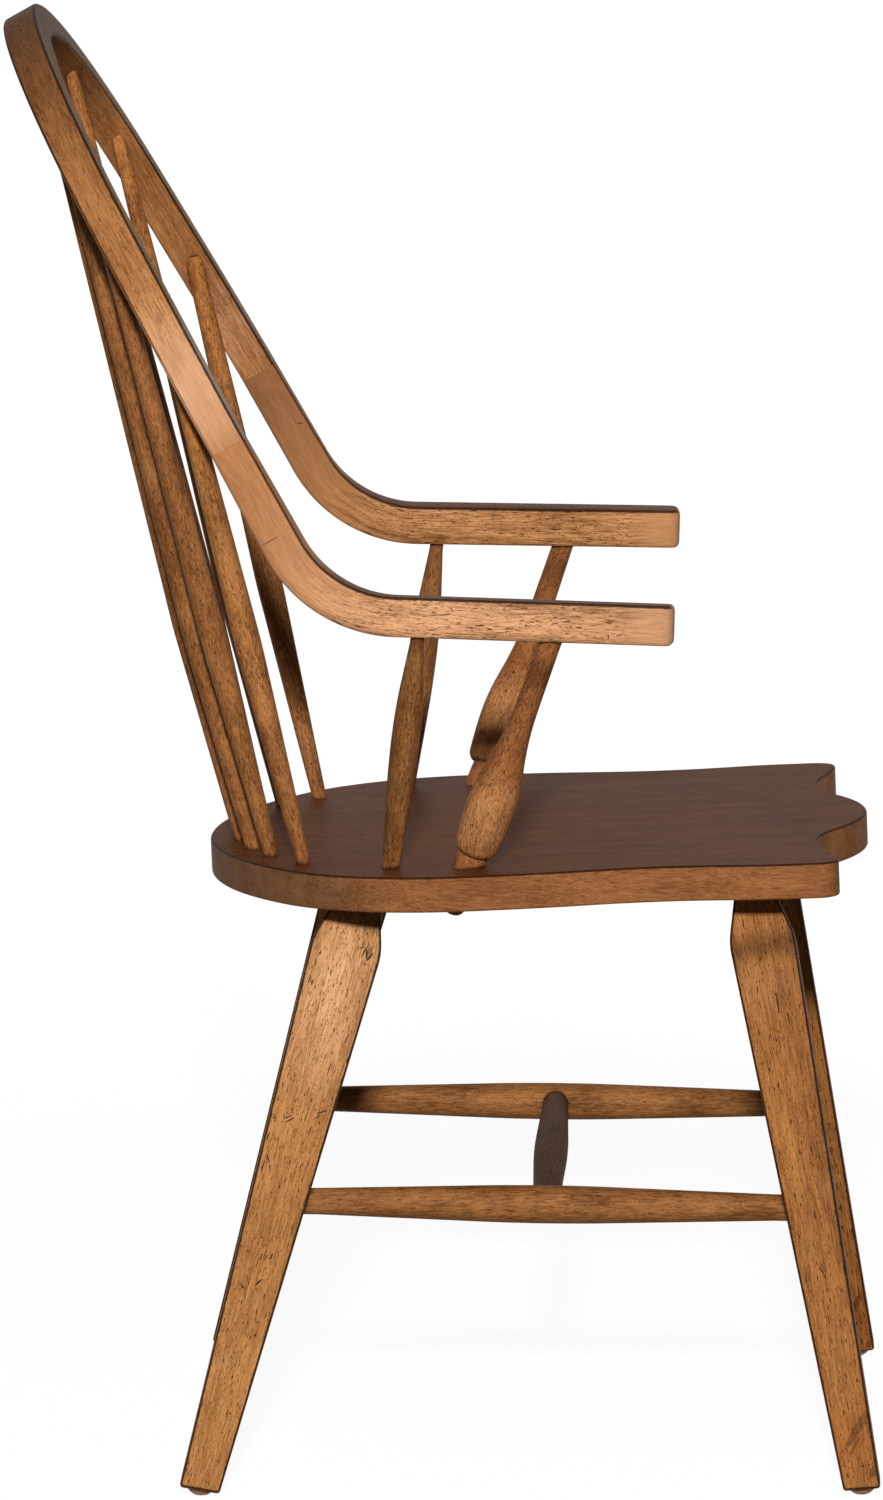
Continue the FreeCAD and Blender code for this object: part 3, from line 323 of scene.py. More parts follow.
def stained_wood(name, tones, pores, seed, frame_of=None, board_face=None, shine=0.06,
                 tone_and_painted_light=(), marks=(), painted_light_by_facing=(), filled=(), arris_from=-1.0, short=1.0):
    """One piece's wood. frame_of is (origin, axes) with the grain along the last axis, or
    None where the mesh carries the place in its grain attribute. board_face is the normal
    of a sawn board's broad faces: the arrises beside them are darkened, as glaze and as
    painted shade, where these look no further down than arris_from, a share of straight up.
    A patch of colour is (middle, radii, how strong red, green and blue are there); some are
    the stain's own tone, and some are painted highlights and painted shade. A mark, such as
    a worm hole or a scratch, is (middle, radii, turn, amount), in the grain's frame. A
    radius of 1, a whole metre, sets no limit that way.
    A facing is (direction, how strong the colours are on faces that look that way): painted
    light and shade by which way a face looks. filled lists (middle, radii) of stretches
    whose pores the stain has filled, and short is how many times shorter the figure is
    along the grain, as a turned face cuts it."""
    material = bpy.data.materials.new(name)
    material.use_nodes = True
    tree = material.node_tree
    surface = tree.nodes["Principled BSDF"]
    surface.inputs["Specular IOR Level"].default_value = shine
    if frame_of is None:
        carried = tree.nodes.new("ShaderNodeAttribute")
        carried.attribute_name = "grain"
        place = carried.outputs["Vector"]
    else:
        origin, axes = frame_of
        own = tree.nodes.new("ShaderNodeTexCoord")
        turn = tree.nodes.new("ShaderNodeMapping")
        turn.vector_type = "TEXTURE"
        turn.inputs["Location"].default_value = origin
        turn.inputs["Rotation"].default_value = Matrix(axes).transposed().to_euler()
        link(tree, own.outputs["Object"], turn.inputs["Vector"])
        place = turn.outputs[0]
    figure = tree.nodes.new("ShaderNodeGroup")
    figure.node_tree = FIGURE
    feed(tree, figure.inputs["Grain place"],
         vector_node(tree, "MULTIPLY", place, (1, 1, short)))
    figure.inputs["Seed"].default_value = seed
    figure.inputs["Light tone"].default_value = (*tones[0], 1)
    figure.inputs["Dark tone"].default_value = (*tones[1], 1)
    colour = figure.outputs["Colour"]
    even = (*(Vector(tones[0]) + Vector(tones[1])) / 2, 1)
    for middle, radii in filled:
        closed = patch(tree, place, middle, radii, hard=0.5)
        kept = math_node(tree, "MULTIPLY_ADD", closed, -FILLED_PORES, 1.0)
        pores = math_node(tree, "MULTIPLY", kept, pores)
        evened = math_node(tree, "MULTIPLY", closed, FILLED_TONE)
        colour = mix_colour(tree, evened, colour, even)
    feed(tree, figure.inputs["Pore share"], pores)
    # Patches of the stain's own tone, and of painted highlights and painted shade.
    for middle, radii, strength in tone_and_painted_light:
        colour = mix_colour(tree, patch(tree, place, middle, radii), colour,
                            (*strength, 1), "MULTIPLY")
    # Painted light and shade by which way a face looks.
    for direction, strength in painted_light_by_facing:
        looking = tree.nodes.new("ShaderNodeNewGeometry")
        towards = vector_node(tree, "DOT_PRODUCT", looking.outputs["Normal"], direction)
        colour = mix_colour(tree, fade(tree, towards, 0.6, 0.9), colour, (*strength, 1),
                            "MULTIPLY")

    # Dark glaze where two pieces meet, darkened by how near another surface is, so it is also
    # painted contact shade; and dark glaze on the arrises of the boards.
    near = tree.nodes.new("ShaderNodeAmbientOcclusion")
    near.samples = 4
    near.inputs["Distance"].default_value = GLAZE_AND_SHADE_REACH
    glaze_and_shade = fade(tree, near.outputs["AO"], 0.85, 0.4)
    glaze_and_shade = math_node(tree, "MULTIPLY", glaze_and_shade, GLAZE_AND_SHADE_STRENGTH)
    if board_face is not None:
        facing = tree.nodes.new("ShaderNodeNewGeometry")
        turned = vector_node(tree, "DOT_PRODUCT", facing.outputs["Normal"], board_face)
        turned = math_node(tree, "MULTIPLY", turned, turned)
        arris = math_node(tree, "MULTIPLY", turned, math_node(tree, "SUBTRACT", 1.0, turned))
        worn = cloud(tree, vector_node(tree, "SCALE", place, scale=160.0))
        arris = math_node(tree, "MULTIPLY_ADD", math_node(tree, "SUBTRACT", worn, 0.5), 0.16,
                          arris)
        arris = fade(tree, arris, 0.05, 0.16)
        height = tree.nodes.new("ShaderNodeSeparateXYZ")
        link(tree, facing.outputs["Normal"], height.inputs[0])
        # Only arrises that look upward are darkened, as painted shade; the lower ones catch the
        # light.
        upward = fade(tree, height.outputs["Z"], arris_from, arris_from + 0.3)
        arris = math_node(tree, "MULTIPLY", arris, upward)
        arris = math_node(tree, "MULTIPLY", arris, GLAZE_AND_SHADE_STRENGTH)
        glaze_and_shade = math_node(tree, "MAXIMUM", glaze_and_shade, arris)
    for middle, radii, turn, amount in marks:
        mark = patch(tree, place, middle, radii, turn, 0.55)
        glaze_and_shade = math_node(tree, "MAXIMUM", glaze_and_shade, math_node(tree, "MULTIPLY", mark, amount))
    colour = mix_colour(tree, glaze_and_shade, colour, GLAZE_AND_SHADE_TONE)
    link(tree, colour, surface.inputs["Base Color"])
    link(tree, figure.outputs["Roughness"], surface.inputs["Roughness"])
    bump = tree.nodes.new("ShaderNodeBump")
    bump.inputs["Strength"].default_value = 0.5
    bump.inputs["Distance"].default_value = GRAIN_BUMP
    link(tree, figure.outputs["Height"], bump.inputs["Height"])
    link(tree, bump.outputs["Normal"], surface.inputs["Normal"])
    return material


GLIDE_TONE = (0.47, 0.175, 0.022, 1)
GLIDE_DIRT = (0.13, 0.042, 0.006, 1)


def glide_plastic():
    """Pale translucent plastic, scuffed on its sole."""
    material = bpy.data.materials.new("glide_plastic")
    material.use_nodes = True
    tree = material.node_tree
    surface = tree.nodes["Principled BSDF"]
    own = tree.nodes.new("ShaderNodeTexCoord")
    scuffs = cloud(tree, vector_node(tree, "MULTIPLY", own.outputs["Object"],
                                     (700, 180, 900)), 3.0, 0.7)
    low = tree.nodes.new("ShaderNodeSeparateXYZ")
    link(tree, own.outputs["Object"], low.inputs[0])
    dirt = math_node(tree, "MULTIPLY", fade(tree, low.outputs["Z"], 3 * MM, 0.0),
                     fade(tree, scuffs, 0.3, 0.7))
    colour = mix_colour(tree, dirt, GLIDE_TONE, GLIDE_DIRT)
    link(tree, colour, surface.inputs["Base Color"])
    link(tree, math_node(tree, "MULTIPLY_ADD", scuffs, 0.3, 0.35), surface.inputs["Roughness"])
    surface.inputs["Subsurface Weight"].default_value = 0.3
    surface.inputs["Subsurface Radius"].default_value = (0.004, 0.003, 0.002)
    bump = tree.nodes.new("ShaderNodeBump")
    bump.inputs["Strength"].default_value = 0.3
    bump.inputs["Distance"].default_value = 0.2 * MM
    link(tree, scuffs, bump.inputs["Height"])
    link(tree, bump.outputs["Normal"], surface.inputs["Normal"])
    return material


# The chair's lines

BOW_CLIMB = Vector((0, math.sin(BOW_LEAN), math.cos(BOW_LEAN)))
BOW_FRONT = Vector((0, -math.cos(BOW_LEAN), math.sin(BOW_LEAN)))
BOW_CENTRE = (Vector((0, BOW_BACK, BOW_TOP - BOW_DEPTH * BOW_FRONT.z))
              - BOW_CLIMB * BOW_RADIUS)
INNER_RADIUS = BOW_RADIUS - BOW_WIDTH
ARM_ALONG = Vector((-math.sin(ARM_FLARE), -math.cos(ARM_FLARE), 0))
ARM_OUT = Vector((-math.cos(ARM_FLARE) * math.cos(ARM_ROLL),
                  math.sin(ARM_FLARE) * math.cos(ARM_ROLL), math.sin(ARM_ROLL)))
ARM_UP = ARM_OUT.cross(ARM_ALONG)


def seat_point(x, y):
    """A point on the seat's sloping top."""
    return Vector((x, y, SEAT_HEIGHT - math.tan(SEAT_SLOPE) * y))


def bow_point(across, climb, forward):
    """A point by the bow's leaning plane: to the side and up from its arc's centre, and
    forward from its rear face."""
    return BOW_CENTRE + Vector((across, 0, 0)) + BOW_CLIMB * climb + BOW_FRONT * forward


def bow_entry(offset):
    """Where a spindle meets the middle of the bow's inner face."""
    arc_end = INNER_RADIUS * math.cos(BOW_FLARE)
    if offset < arc_end:
        climb = math.sqrt(INNER_RADIUS ** 2 - offset ** 2)
    else:
        climb = (INNER_RADIUS * math.sin(BOW_FLARE)
                 - (offset - arc_end) / math.tan(BOW_FLARE))
    return bow_point(offset, climb, BOW_DEPTH / 2)


def bow_line(inset):
    """Points down the bow's right half, at a distance inside its outer edge."""
    points = []
    radius = BOW_RADIUS - inset
    for step in range(BOW_ARC_STEPS + 1):
        angle = (math.pi / 2 - BOW_FLARE) * step / BOW_ARC_STEPS
        points.append((radius * math.sin(angle), radius * math.cos(angle)))
    x, y = points[-1]
    heading = Vector((math.sin(BOW_FLARE), -math.cos(BOW_FLARE)))
    for step in range(1, BOW_STRAIGHT_STEPS + 1):
        reach = BOW_STRAIGHT * step / BOW_STRAIGHT_STEPS
        points.append((x + heading.x * reach, y + heading.y * reach))
    x, y = points[-1]
    radius = BOW_RETURN - inset
    for step in range(1, BOW_RETURN_STEPS + 1):
        angle = BOW_FLARE + (BOW_END_FLARE - BOW_FLARE) * step / BOW_RETURN_STEPS
        points.append((x + radius * (math.cos(angle) - math.cos(BOW_FLARE)),
                       y - radius * (math.sin(BOW_FLARE) - math.sin(angle))))
    return points


# Geometry trees

def new_tree(name, sizes):
    """A geometry tree with its sizes as named inputs and a material."""
    tree = bpy.data.node_groups.new(name, "GeometryNodeTree")
    tree.is_modifier = True
    tree.interface.new_socket("Geometry", in_out="INPUT", socket_type="NodeSocketGeometry")
    for label, kind, default in sizes:
        socket = tree.interface.new_socket(label, in_out="INPUT", socket_type=kind)
        socket.default_value = default
    tree.interface.new_socket("Material", in_out="INPUT", socket_type="NodeSocketMaterial")
    tree.interface.new_socket("Geometry", in_out="OUTPUT", socket_type="NodeSocketGeometry")
    return tree, tree.nodes.new("NodeGroupInput"), tree.nodes.new("NodeGroupOutput")


def captured(tree, geometry, value, kind):
    """Keeps a field on the points, so that the swept mesh carries it."""
    node = tree.nodes.new("GeometryNodeCaptureAttribute")
    node.capture_items.new(kind, "kept")
    link(tree, geometry, node.inputs["Geometry"])
    link(tree, value, node.inputs[1])
    return node.outputs["Geometry"], node.outputs[1]


def sweep(tree, rail, profile, radius):
    """A closed bar along the rail. With a radius, the profile is a unit circle."""
    node = tree.nodes.new("GeometryNodeCurveToMesh")
    if radius is not None:
        link(tree, radius, node.inputs["Scale"])
    link(tree, rail, node.inputs["Curve"])
    link(tree, profile, node.inputs["Profile Curve"])
    node.inputs["Fill Caps"].default_value = True
    return node.outputs["Mesh"]


def close_tree(tree, given, made, mesh, grain):
    """Stores the grain's place, then realizes the mesh and gives it its material."""
    store = tree.nodes.new("GeometryNodeStoreNamedAttribute")
    store.data_type = "FLOAT_VECTOR"
    store.domain = "POINT"
    store.inputs["Name"].default_value = "grain"
    link(tree, mesh, store.inputs["Geometry"])
    link(tree, grain, store.inputs["Value"])
    real = tree.nodes.new("GeometryNodeRealizeInstances")
    link(tree, store.outputs["Geometry"], real.inputs["Geometry"])
    finish = tree.nodes.new("GeometryNodeSetMaterial")
    link(tree, real.outputs["Geometry"], finish.inputs["Geometry"])
    link(tree, given.outputs["Material"], finish.inputs["Material"])
    link(tree, finish.outputs["Geometry"], made.inputs["Geometry"])


def turning_tree():
    """A spindle: a straight taper up to a rounded belly and one down to the top, sanded by
    hand, so that it is a few hundredths out of round."""
    tree, given, made = new_tree("swelled_turning", (
        ("Foot", "NodeSocketVector", (0, 0, 0)), ("Top", "NodeSocketVector", (0, 0, 1)),
        ("Foot radius", "NodeSocketFloat", 5 * MM),
        ("Belly radius", "NodeSocketFloat", 10 * MM),
        ("Top radius", "NodeSocketFloat", 4 * MM),
        ("Belly height", "NodeSocketFloat", 165 * MM),
        ("Taper length", "NodeSocketFloat", 600 * MM),
        ("Belly blend", "NodeSocketFloat", 0.8 * MM),
        ("Waver", "NodeSocketFloat", 0.12 * MM), ("Seed", "NodeSocketFloat", 0.0)))
    size = given.outputs
    line = tree.nodes.new("GeometryNodeCurvePrimitiveLine")
    link(tree, size["Foot"], line.inputs["Start"])
    link(tree, size["Top"], line.inputs["End"])
    rail = tree.nodes.new("GeometryNodeResampleCurve")
    link(tree, line.outputs["Curve"], rail.inputs["Curve"])
    rail.inputs["Count"].default_value = TURNING_RINGS
    climb = tree.nodes.new("GeometryNodeSplineParameter").outputs["Length"]

    def rise(start_radius, end_radius, start, end):
        """Straight line through two radii at two heights."""
        share = math_node(tree, "DIVIDE", math_node(tree, "SUBTRACT", climb, start),
                          math_node(tree, "SUBTRACT", end, start))
        change = math_node(tree, "SUBTRACT", end_radius, start_radius)
        return math_node(tree, "MULTIPLY_ADD", share, change, start_radius)

    spare = math_node(tree, "DIVIDE", size["Belly blend"], 6.0)
    peak = math_node(tree, "ADD", size["Belly radius"], spare)
    lower = rise(size["Foot radius"], peak, 0.0, size["Belly height"])
    upper = rise(peak, size["Top radius"], size["Belly height"], size["Taper length"])
    radius = math_node(tree, "SMOOTH_MIN", lower, upper, size["Belly blend"])
    rail_out, height = captured(tree, rail.outputs["Curve"], climb, "FLOAT")
    rail_out, thick = captured(tree, rail_out, radius, "FLOAT")
    circle = tree.nodes.new("GeometryNodeCurvePrimitiveCircle")
    circle.inputs["Resolution"].default_value = TURNING_SIDES
    circle.inputs["Radius"].default_value = 1
    around = tree.nodes.new("GeometryNodeInputPosition").outputs[0]
    ring, spot = captured(tree, circle.outputs["Curve"], around, "VECTOR")
    mesh = sweep(tree, rail_out, ring, thick)
    grain = vector_node(tree, "SCALE", spot, scale=thick)
    lift = tree.nodes.new("ShaderNodeCombineXYZ")
    link(tree, height, lift.inputs["Z"])
    grain = vector_node(tree, "ADD", grain, lift.outputs[0])

    wobble = tree.nodes.new("ShaderNodeTexNoise")
    wobble.noise_dimensions = "4D"
    link(tree, vector_node(tree, "MULTIPLY", grain, (90, 90, 22)), wobble.inputs["Vector"])
    link(tree, size["Seed"], wobble.inputs["W"])
    wobble.inputs["Scale"].default_value = 1
    amount = math_node(tree, "SUBTRACT", wobble.outputs[0], 0.5)
    amount = math_node(tree, "MULTIPLY", amount, math_node(tree, "MULTIPLY", size["Waver"], 2.0))
    outward = tree.nodes.new("GeometryNodeInputNormal").outputs[0]
    sanded = tree.nodes.new("GeometryNodeSetPosition")
    link(tree, mesh, sanded.inputs["Geometry"])
    link(tree, vector_node(tree, "SCALE", outward, scale=amount), sanded.inputs["Offset"])
    close_tree(tree, given, made, sanded.outputs["Geometry"], grain)
    return tree


def bar_tree():
    """A bent bar: a rounded rectangle swept along the rail that the object holds."""
    tree, given, made = new_tree("bent_bar", (
        ("Depth", "NodeSocketFloat", BOW_DEPTH), ("Width", "NodeSocketFloat", BOW_WIDTH),
        ("Rounding", "NodeSocketFloat", BOW_ROUNDING),
        ("Face", "NodeSocketVector", (0, 0, 1))))
    size = given.outputs
    facing = tree.nodes.new("GeometryNodeSetCurveNormal")
    facing.mode = "FREE"
    link(tree, given.outputs["Geometry"], facing.inputs["Curve"])
    link(tree, size["Face"], facing.inputs["Normal"])
    along = tree.nodes.new("GeometryNodeSplineParameter").outputs["Length"]
    rail, reach = captured(tree, facing.outputs["Curve"], along, "FLOAT")
    section = tree.nodes.new("GeometryNodeCurvePrimitiveQuadrilateral")
    link(tree, size["Depth"], section.inputs["Width"])
    link(tree, size["Width"], section.inputs["Height"])
    rounded = tree.nodes.new("GeometryNodeFilletCurve")
    rounded.mode = "POLY"
    rounded.inputs["Count"].default_value = CORNER_POINTS
    link(tree, section.outputs["Curve"], rounded.inputs["Curve"])
    link(tree, size["Rounding"], rounded.inputs["Radius"])
    around = tree.nodes.new("GeometryNodeInputPosition").outputs[0]
    ring, spot = captured(tree, rounded.outputs["Curve"], around, "VECTOR")
    mesh = sweep(tree, rail, ring, None)
    lift = tree.nodes.new("ShaderNodeCombineXYZ")
    link(tree, reach, lift.inputs["Z"])
    close_tree(tree, given, made, mesh, vector_node(tree, "ADD", spot, lift.outputs[0]))
    return tree


def grown(name, tree, sizes, material, start=None):
    """Runs a tree with these sizes and keeps its result as a plain mesh."""
    seedling = bpy.data.objects.new(name + "_tree", start or bpy.data.meshes.new(name))
    scene.collection.objects.link(seedling)
    modifier = seedling.modifiers.new("make", "NODES")
    modifier.node_group = tree
    sizes = dict(sizes, Material=material)
    for item in tree.interface.items_tree:
        if item.in_out == "INPUT" and item.name in sizes:
            modifier[item.identifier] = sizes[item.name]
    graph = bpy.context.evaluated_depsgraph_get()
    mesh = bpy.data.meshes.new_from_object(seedling.evaluated_get(graph))
    bpy.data.objects.remove(seedling)
    mesh.name = name
    piece = bpy.data.objects.new(name, mesh)
    scene.collection.objects.link(piece)
    mesh.shade_smooth()
    mesh.set_sharp_from_angle(angle=SMOOTH_BELOW)
    return piece


def turned_piece(name, node, foot, top, sizes, material, seed):
    """One turning between two points, in place of a node. The sizes are as in
    SPINDLE_TURNING."""
    foot_dia, belly_dia, top_dia, belly_height, taper_length = sizes
    piece = grown(name, TURNING, {
        "Foot": foot, "Top": top, "Foot radius": foot_dia / 2, "Belly radius": belly_dia / 2,
        "Top radius": top_dia / 2, "Belly height": belly_height,
        "Taper length": taper_length, "Seed": float(seed)}, material)
    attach(piece, "root")
    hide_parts(node)


TURNING = turning_tree()
BAR = bar_tree()

# The back

# Light and dark tones of the stain on each kind of piece.
SPINDLE_TONES = (0.53, 0.214, 0.068), (0.17, 0.059, 0.016)
BOW_TONES = (0.61, 0.260, 0.088), (0.29, 0.107, 0.032)
# The right arm's tones are paler and bluer than the left's: a painted sheen.
ARM_TONES_AND_SHEEN = {RIGHT: ((0.97, 0.49, 0.242), (0.31, 0.132, 0.049)),
             LEFT: ((0.90, 0.42, 0.168), (0.28, 0.115, 0.036))}
# How strong an arm's colours are beside the bow's end.
ARM_STUB_SHADE = {RIGHT: (0.84, 0.73, 0.58), LEFT: (0.62, 0.57, 0.57)}
POST_TONES = (0.53, 0.200, 0.063), (0.21, 0.071, 0.021)
FRONT_LEG_TONES = (0.59, 0.235, 0.064), (0.25, 0.088, 0.018)
REAR_LEG_TONES = (0.70, 0.310, 0.100), (0.33, 0.125, 0.029)
STRETCHER_TONES = (0.52, 0.212, 0.068), (0.17, 0.062, 0.015)
# The cross stretcher's tones are far darker than the other stretchers': painted shade under the
# seat.
CROSS_SHADED_TONES = (0.145, 0.057, 0.014), (0.064, 0.024, 0.005)
SEAT_TONES = (0.47, 0.185, 0.064), (0.22, 0.077, 0.025)


def stretch(along, reach):
    """The middle and radii of a stretch of a piece, all across it: how far along the grain
    its middle is, and how far it reaches from there."""
    return (0, 0, along), (1, 1, reach)


def hole(out, across, along, size=0.8):
    """A round mark, such as a worm hole, at a place in the grain's frame."""
    return (Vector((out, across, along)) * MM, (3 * MM, size * MM, size * MM), 0, 0.9)


def scratch(out, across, along, length, turn, width=0.6, amount=0.95):
    """A thin dark mark, its turn in degrees from the grain."""
    return (Vector((out, across, along)) * MM, (3 * MM, width * MM, length / 2 * MM),
            math.radians(turn), amount)


SPINDLE_MARKS = {
    "back_spindle_3_right": (hole(-6, -6, 271), hole(-7.5, -5.5, 205)),
    "back_spindle_4_left": (scratch(0, 0, 371.6, 30, 90, 0.5, 0.6),),
}


def back_spindles():
    """Nine of one turning. The shorter ones end lower on its taper."""
    centre = SEAT_BACK - SPINDLE_INSET - SPINDLE_ARC
    for pair, (angle, offset) in enumerate(zip(SPINDLE_FEET, SPINDLE_TOPS)):
        turn = math.radians(angle)
        for side in (RIGHT, LEFT) if pair else (LEFT,):
            foot = seat_point(side * SPINDLE_ARC * math.sin(turn),
                              centre + SPINDLE_ARC * math.cos(turn))
            top = bow_entry(offset)
            top.x *= side
            axis = (top - foot).normalized()
            node = "back_spindle_middle"
            if pair:
                node = "back_spindle_%d_%s" % (pair, "left" if side == LEFT else "right")
            seed = pair * 2 + (side == LEFT)
            height = (top - foot).length
            # A painted highlight at each top; the outermost right spindle is also paler, in its
            # own tone.
            tone_and_painted_light = [(*stretch(height, 130 * MM), (1.35, 1.3, 1.15))]
            if node == "back_spindle_4_right":
                tone_and_painted_light.append((*stretch(330 * MM, 420 * MM), (1.25, 1.3, 1.28)))
            wood = stained_wood(node + "_wood", SPINDLE_TONES, pores=0.75,
                                seed=3.1 + seed * 1.7, tone_and_painted_light=tone_and_painted_light,
                                marks=SPINDLE_MARKS.get(node, ()), short=2.2)
            turned_piece(node + "_turned", node, foot - axis * SPINDLE_FOOT_DEPTH,
                         top + axis * SPINDLE_TOP_DEPTH, SPINDLE_TURNING, wood, seed)


def back_bow():
    """The bent bow: one bar along its middle line, from its right end over the crown."""
    half = bow_line(BOW_WIDTH / 2)
    rail = [(-x, y) for x, y in reversed(half)] + half[1:]
    curve = bpy.data.curves.new("back_bow_rail", "CURVE")
    curve.dimensions = "3D"
    spline = curve.splines.new("POLY")
    spline.points.add(len(rail) - 1)
    for point, (across, climb) in zip(spline.points, rail):
        point.co = (*bow_point(across, climb, BOW_DEPTH / 2), 1)
    length = sum(math.dist(first, second) for first, second in zip(rail, rail[1:]))
    # Painted shade round the crown, and painted highlights low on both slopes.
    wood = stained_wood(
        "back_bow_wood", BOW_TONES, pores=0.5, seed=41.0, board_face=tuple(BOW_FRONT),
        shine=0.035,
        tone_and_painted_light=[(*stretch(length / 2, 320 * MM), (0.27, 0.25, 0.29)),
                (*stretch(60 * MM, 110 * MM), (1.3, 1.42, 1.7)),
                (*stretch(45 * MM, 85 * MM), (1.42, 1.66, 2.3)),
                (*stretch(length - 50 * MM, 70 * MM), (1.25, 1.4, 1.9))],
        # A painted reflection: the front face is made paler and greyer.
        painted_light_by_facing=[(BOW_FRONT, (0.95, 1.35, 1.9))], arris_from=-0.25,
        filled=[stretch(0, 110 * MM)])
    piece = grown("back_bow_bent", BAR, {"Face": BOW_FRONT}, wood, curve)
    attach(piece, "root")
    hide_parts("back_bow")


back_spindles()
back_bow()

# The arms


def arm_stations():
    """The right arm from the bow's end to its front: at each station the outer upper
    corner, the way in, the way down and the depth."""
    across, climb = bow_line(0)[-1]
    joint = bow_point(-across, climb, BOW_DEPTH)
    inward = Vector((math.cos(BOW_END_FLARE), 0, 0)) - BOW_CLIMB * math.sin(BOW_END_FLARE)
    stub_down = BOW_FRONT.cross(ARM_OUT).normalized()
    flare = math.atan2(-stub_down.x, -stub_down.dot(BOW_CLIMB))
    across += BOW_RETURN * (math.cos(flare) - math.cos(BOW_END_FLARE))
    climb -= BOW_RETURN * (math.sin(BOW_END_FLARE) - math.sin(flare))
    bend = (bow_point(-across, climb, BOW_DEPTH)
            + ARM_STUB * (-Vector((math.sin(flare), 0, 0)) - BOW_CLIMB * math.cos(flare)))
    heading = math.atan2(stub_down.dot(ARM_UP), stub_down.dot(ARM_ALONG))

    def along(angle):
        return ARM_ALONG * math.cos(angle) + ARM_UP * math.sin(angle)

    def down(angle):
        return ARM_ALONG * math.sin(angle) - ARM_UP * math.cos(angle)

    stations = []
    for step in range(STUB_STEPS):
        share = step / STUB_STEPS
        stations.append((joint.lerp(bend, share), inward.lerp(-ARM_OUT, share),
                         (-BOW_FRONT).lerp(down(heading), share),
                         BOW_DEPTH + (ARM_DEPTH - BOW_DEPTH) * share))
    centre = bend - down(heading) * ARM_BEND
    for step in range(BEND_STEPS + 1):
        angle = heading + (-ARM_DROP - heading) * step / BEND_STEPS
        stations.append((centre + down(angle) * ARM_BEND, -ARM_OUT, down(angle), ARM_DEPTH))
    last = stations[-1][0]
    left = (last.y + ARM_FRONT) / math.cos(ARM_FLARE) / math.cos(ARM_DROP)
    for step in range(1, LEVEL_STEPS + 1):
        stations.append((last + along(-ARM_DROP) * left * step / LEVEL_STEPS, -ARM_OUT,
                         down(-ARM_DROP), ARM_DEPTH))
    return stations


def section_ring(width, depth, rounding):
    """A rounded rectangle's points, from its outer upper corner inwards and down."""
    ring = []
    corners = ((rounding, rounding, 180), (width - rounding, rounding, 270),
               (width - rounding, depth - rounding, 0), (rounding, depth - rounding, 90))
    for x, y, start in corners:
        for step in range(CORNER_POINTS):
            angle = math.radians(start + 90 * step / (CORNER_POINTS - 1))
            ring.append((x + rounding * math.cos(angle), y + rounding * math.sin(angle)))
    return ring


def sided(vector, side):
    """Mirrors a vector given for the right side."""
    return Vector((-vector[0] * side, vector[1], vector[2]))


def bent_arm(word, side):
    """Sections lofted from the bow's end, where they fit it, to a front with soft edges."""
    stations = arm_stations()
    sections = [(*station, 0.0, 0.0) for station in stations[:-2]]
    tip = stations[-1]
    ahead = (tip[0] - stations[-2][0]).normalized()
    for step in range(TIP_STEPS + 1):
        turn = math.radians(90 * step / TIP_STEPS)
        short = TIP_ROUNDING * (1 - math.sin(turn))
        left = max(TIP_EDGE - short, 0)
        sections.append((tip[0] - ahead * short, *tip[1:],
                         TIP_ROUNDING * (1 - math.cos(turn)),
                         TIP_EDGE - math.sqrt(TIP_EDGE ** 2 - left ** 2)))
    build = bmesh.new()
    grain = build.verts.layers.float_vector.new("grain")
    reach, before, rings = 0.0, sections[0][0], []
    for corner, inward, down, depth, side_inset, top_inset in sections:
        reach += (corner - before).length
        before = corner
        ring = []
        for x, y in section_ring(BOW_WIDTH - 2 * side_inset, depth - 2 * top_inset,
                                 BOW_ROUNDING):
            x, y = x + side_inset, y + top_inset
            point = build.verts.new(sided(corner + inward * x + down * y, side))
            point[grain] = (x - BOW_WIDTH / 2, y - depth / 2, reach)
            ring.append(point)
        rings.append(ring)
    for first, second in zip(rings, rings[1:]):
        for index in range(len(first)):
            build.faces.new((first[index - 1], first[index], second[index],
                             second[index - 1]))
    for ring in (rings[0], rings[-1]):
        build.faces.new(ring)
    bmesh.ops.recalc_face_normals(build, faces=build.faces)
    name = "arm_%s_bent" % word
    mesh = bpy.data.meshes.new(name)
    build.to_mesh(mesh)
    build.free()
    mesh.materials.append(stained_wood(
        "arm_%s_wood" % word, ARM_TONES_AND_SHEEN[side], pores=0.95, seed=80.0 + side,
        board_face=tuple(sided(ARM_OUT, side)), marks=ARM_MARKS[side],
        # The stub takes on the bow's tone; a painted highlight at the front end, and painted
        # shade on the top face.
        tone_and_painted_light=[(*stretch(0, 180 * MM), ARM_STUB_SHADE[side]),
                (*stretch(reach, 70 * MM), (1.1, 1.15, 1.25))],
        painted_light_by_facing=[((0, 0, 1), (0.26, 0.21, 0.2))], arris_from=0.1,
        filled=[stretch(20 * MM, 130 * MM), stretch(reach, 40 * MM)]))
    mesh.shade_smooth()
    mesh.set_sharp_from_angle(angle=SMOOTH_BELOW)
    piece = bpy.data.objects.new(name, mesh)
    scene.collection.objects.link(piece)
    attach(piece, "root")
    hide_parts("arm_" + word)


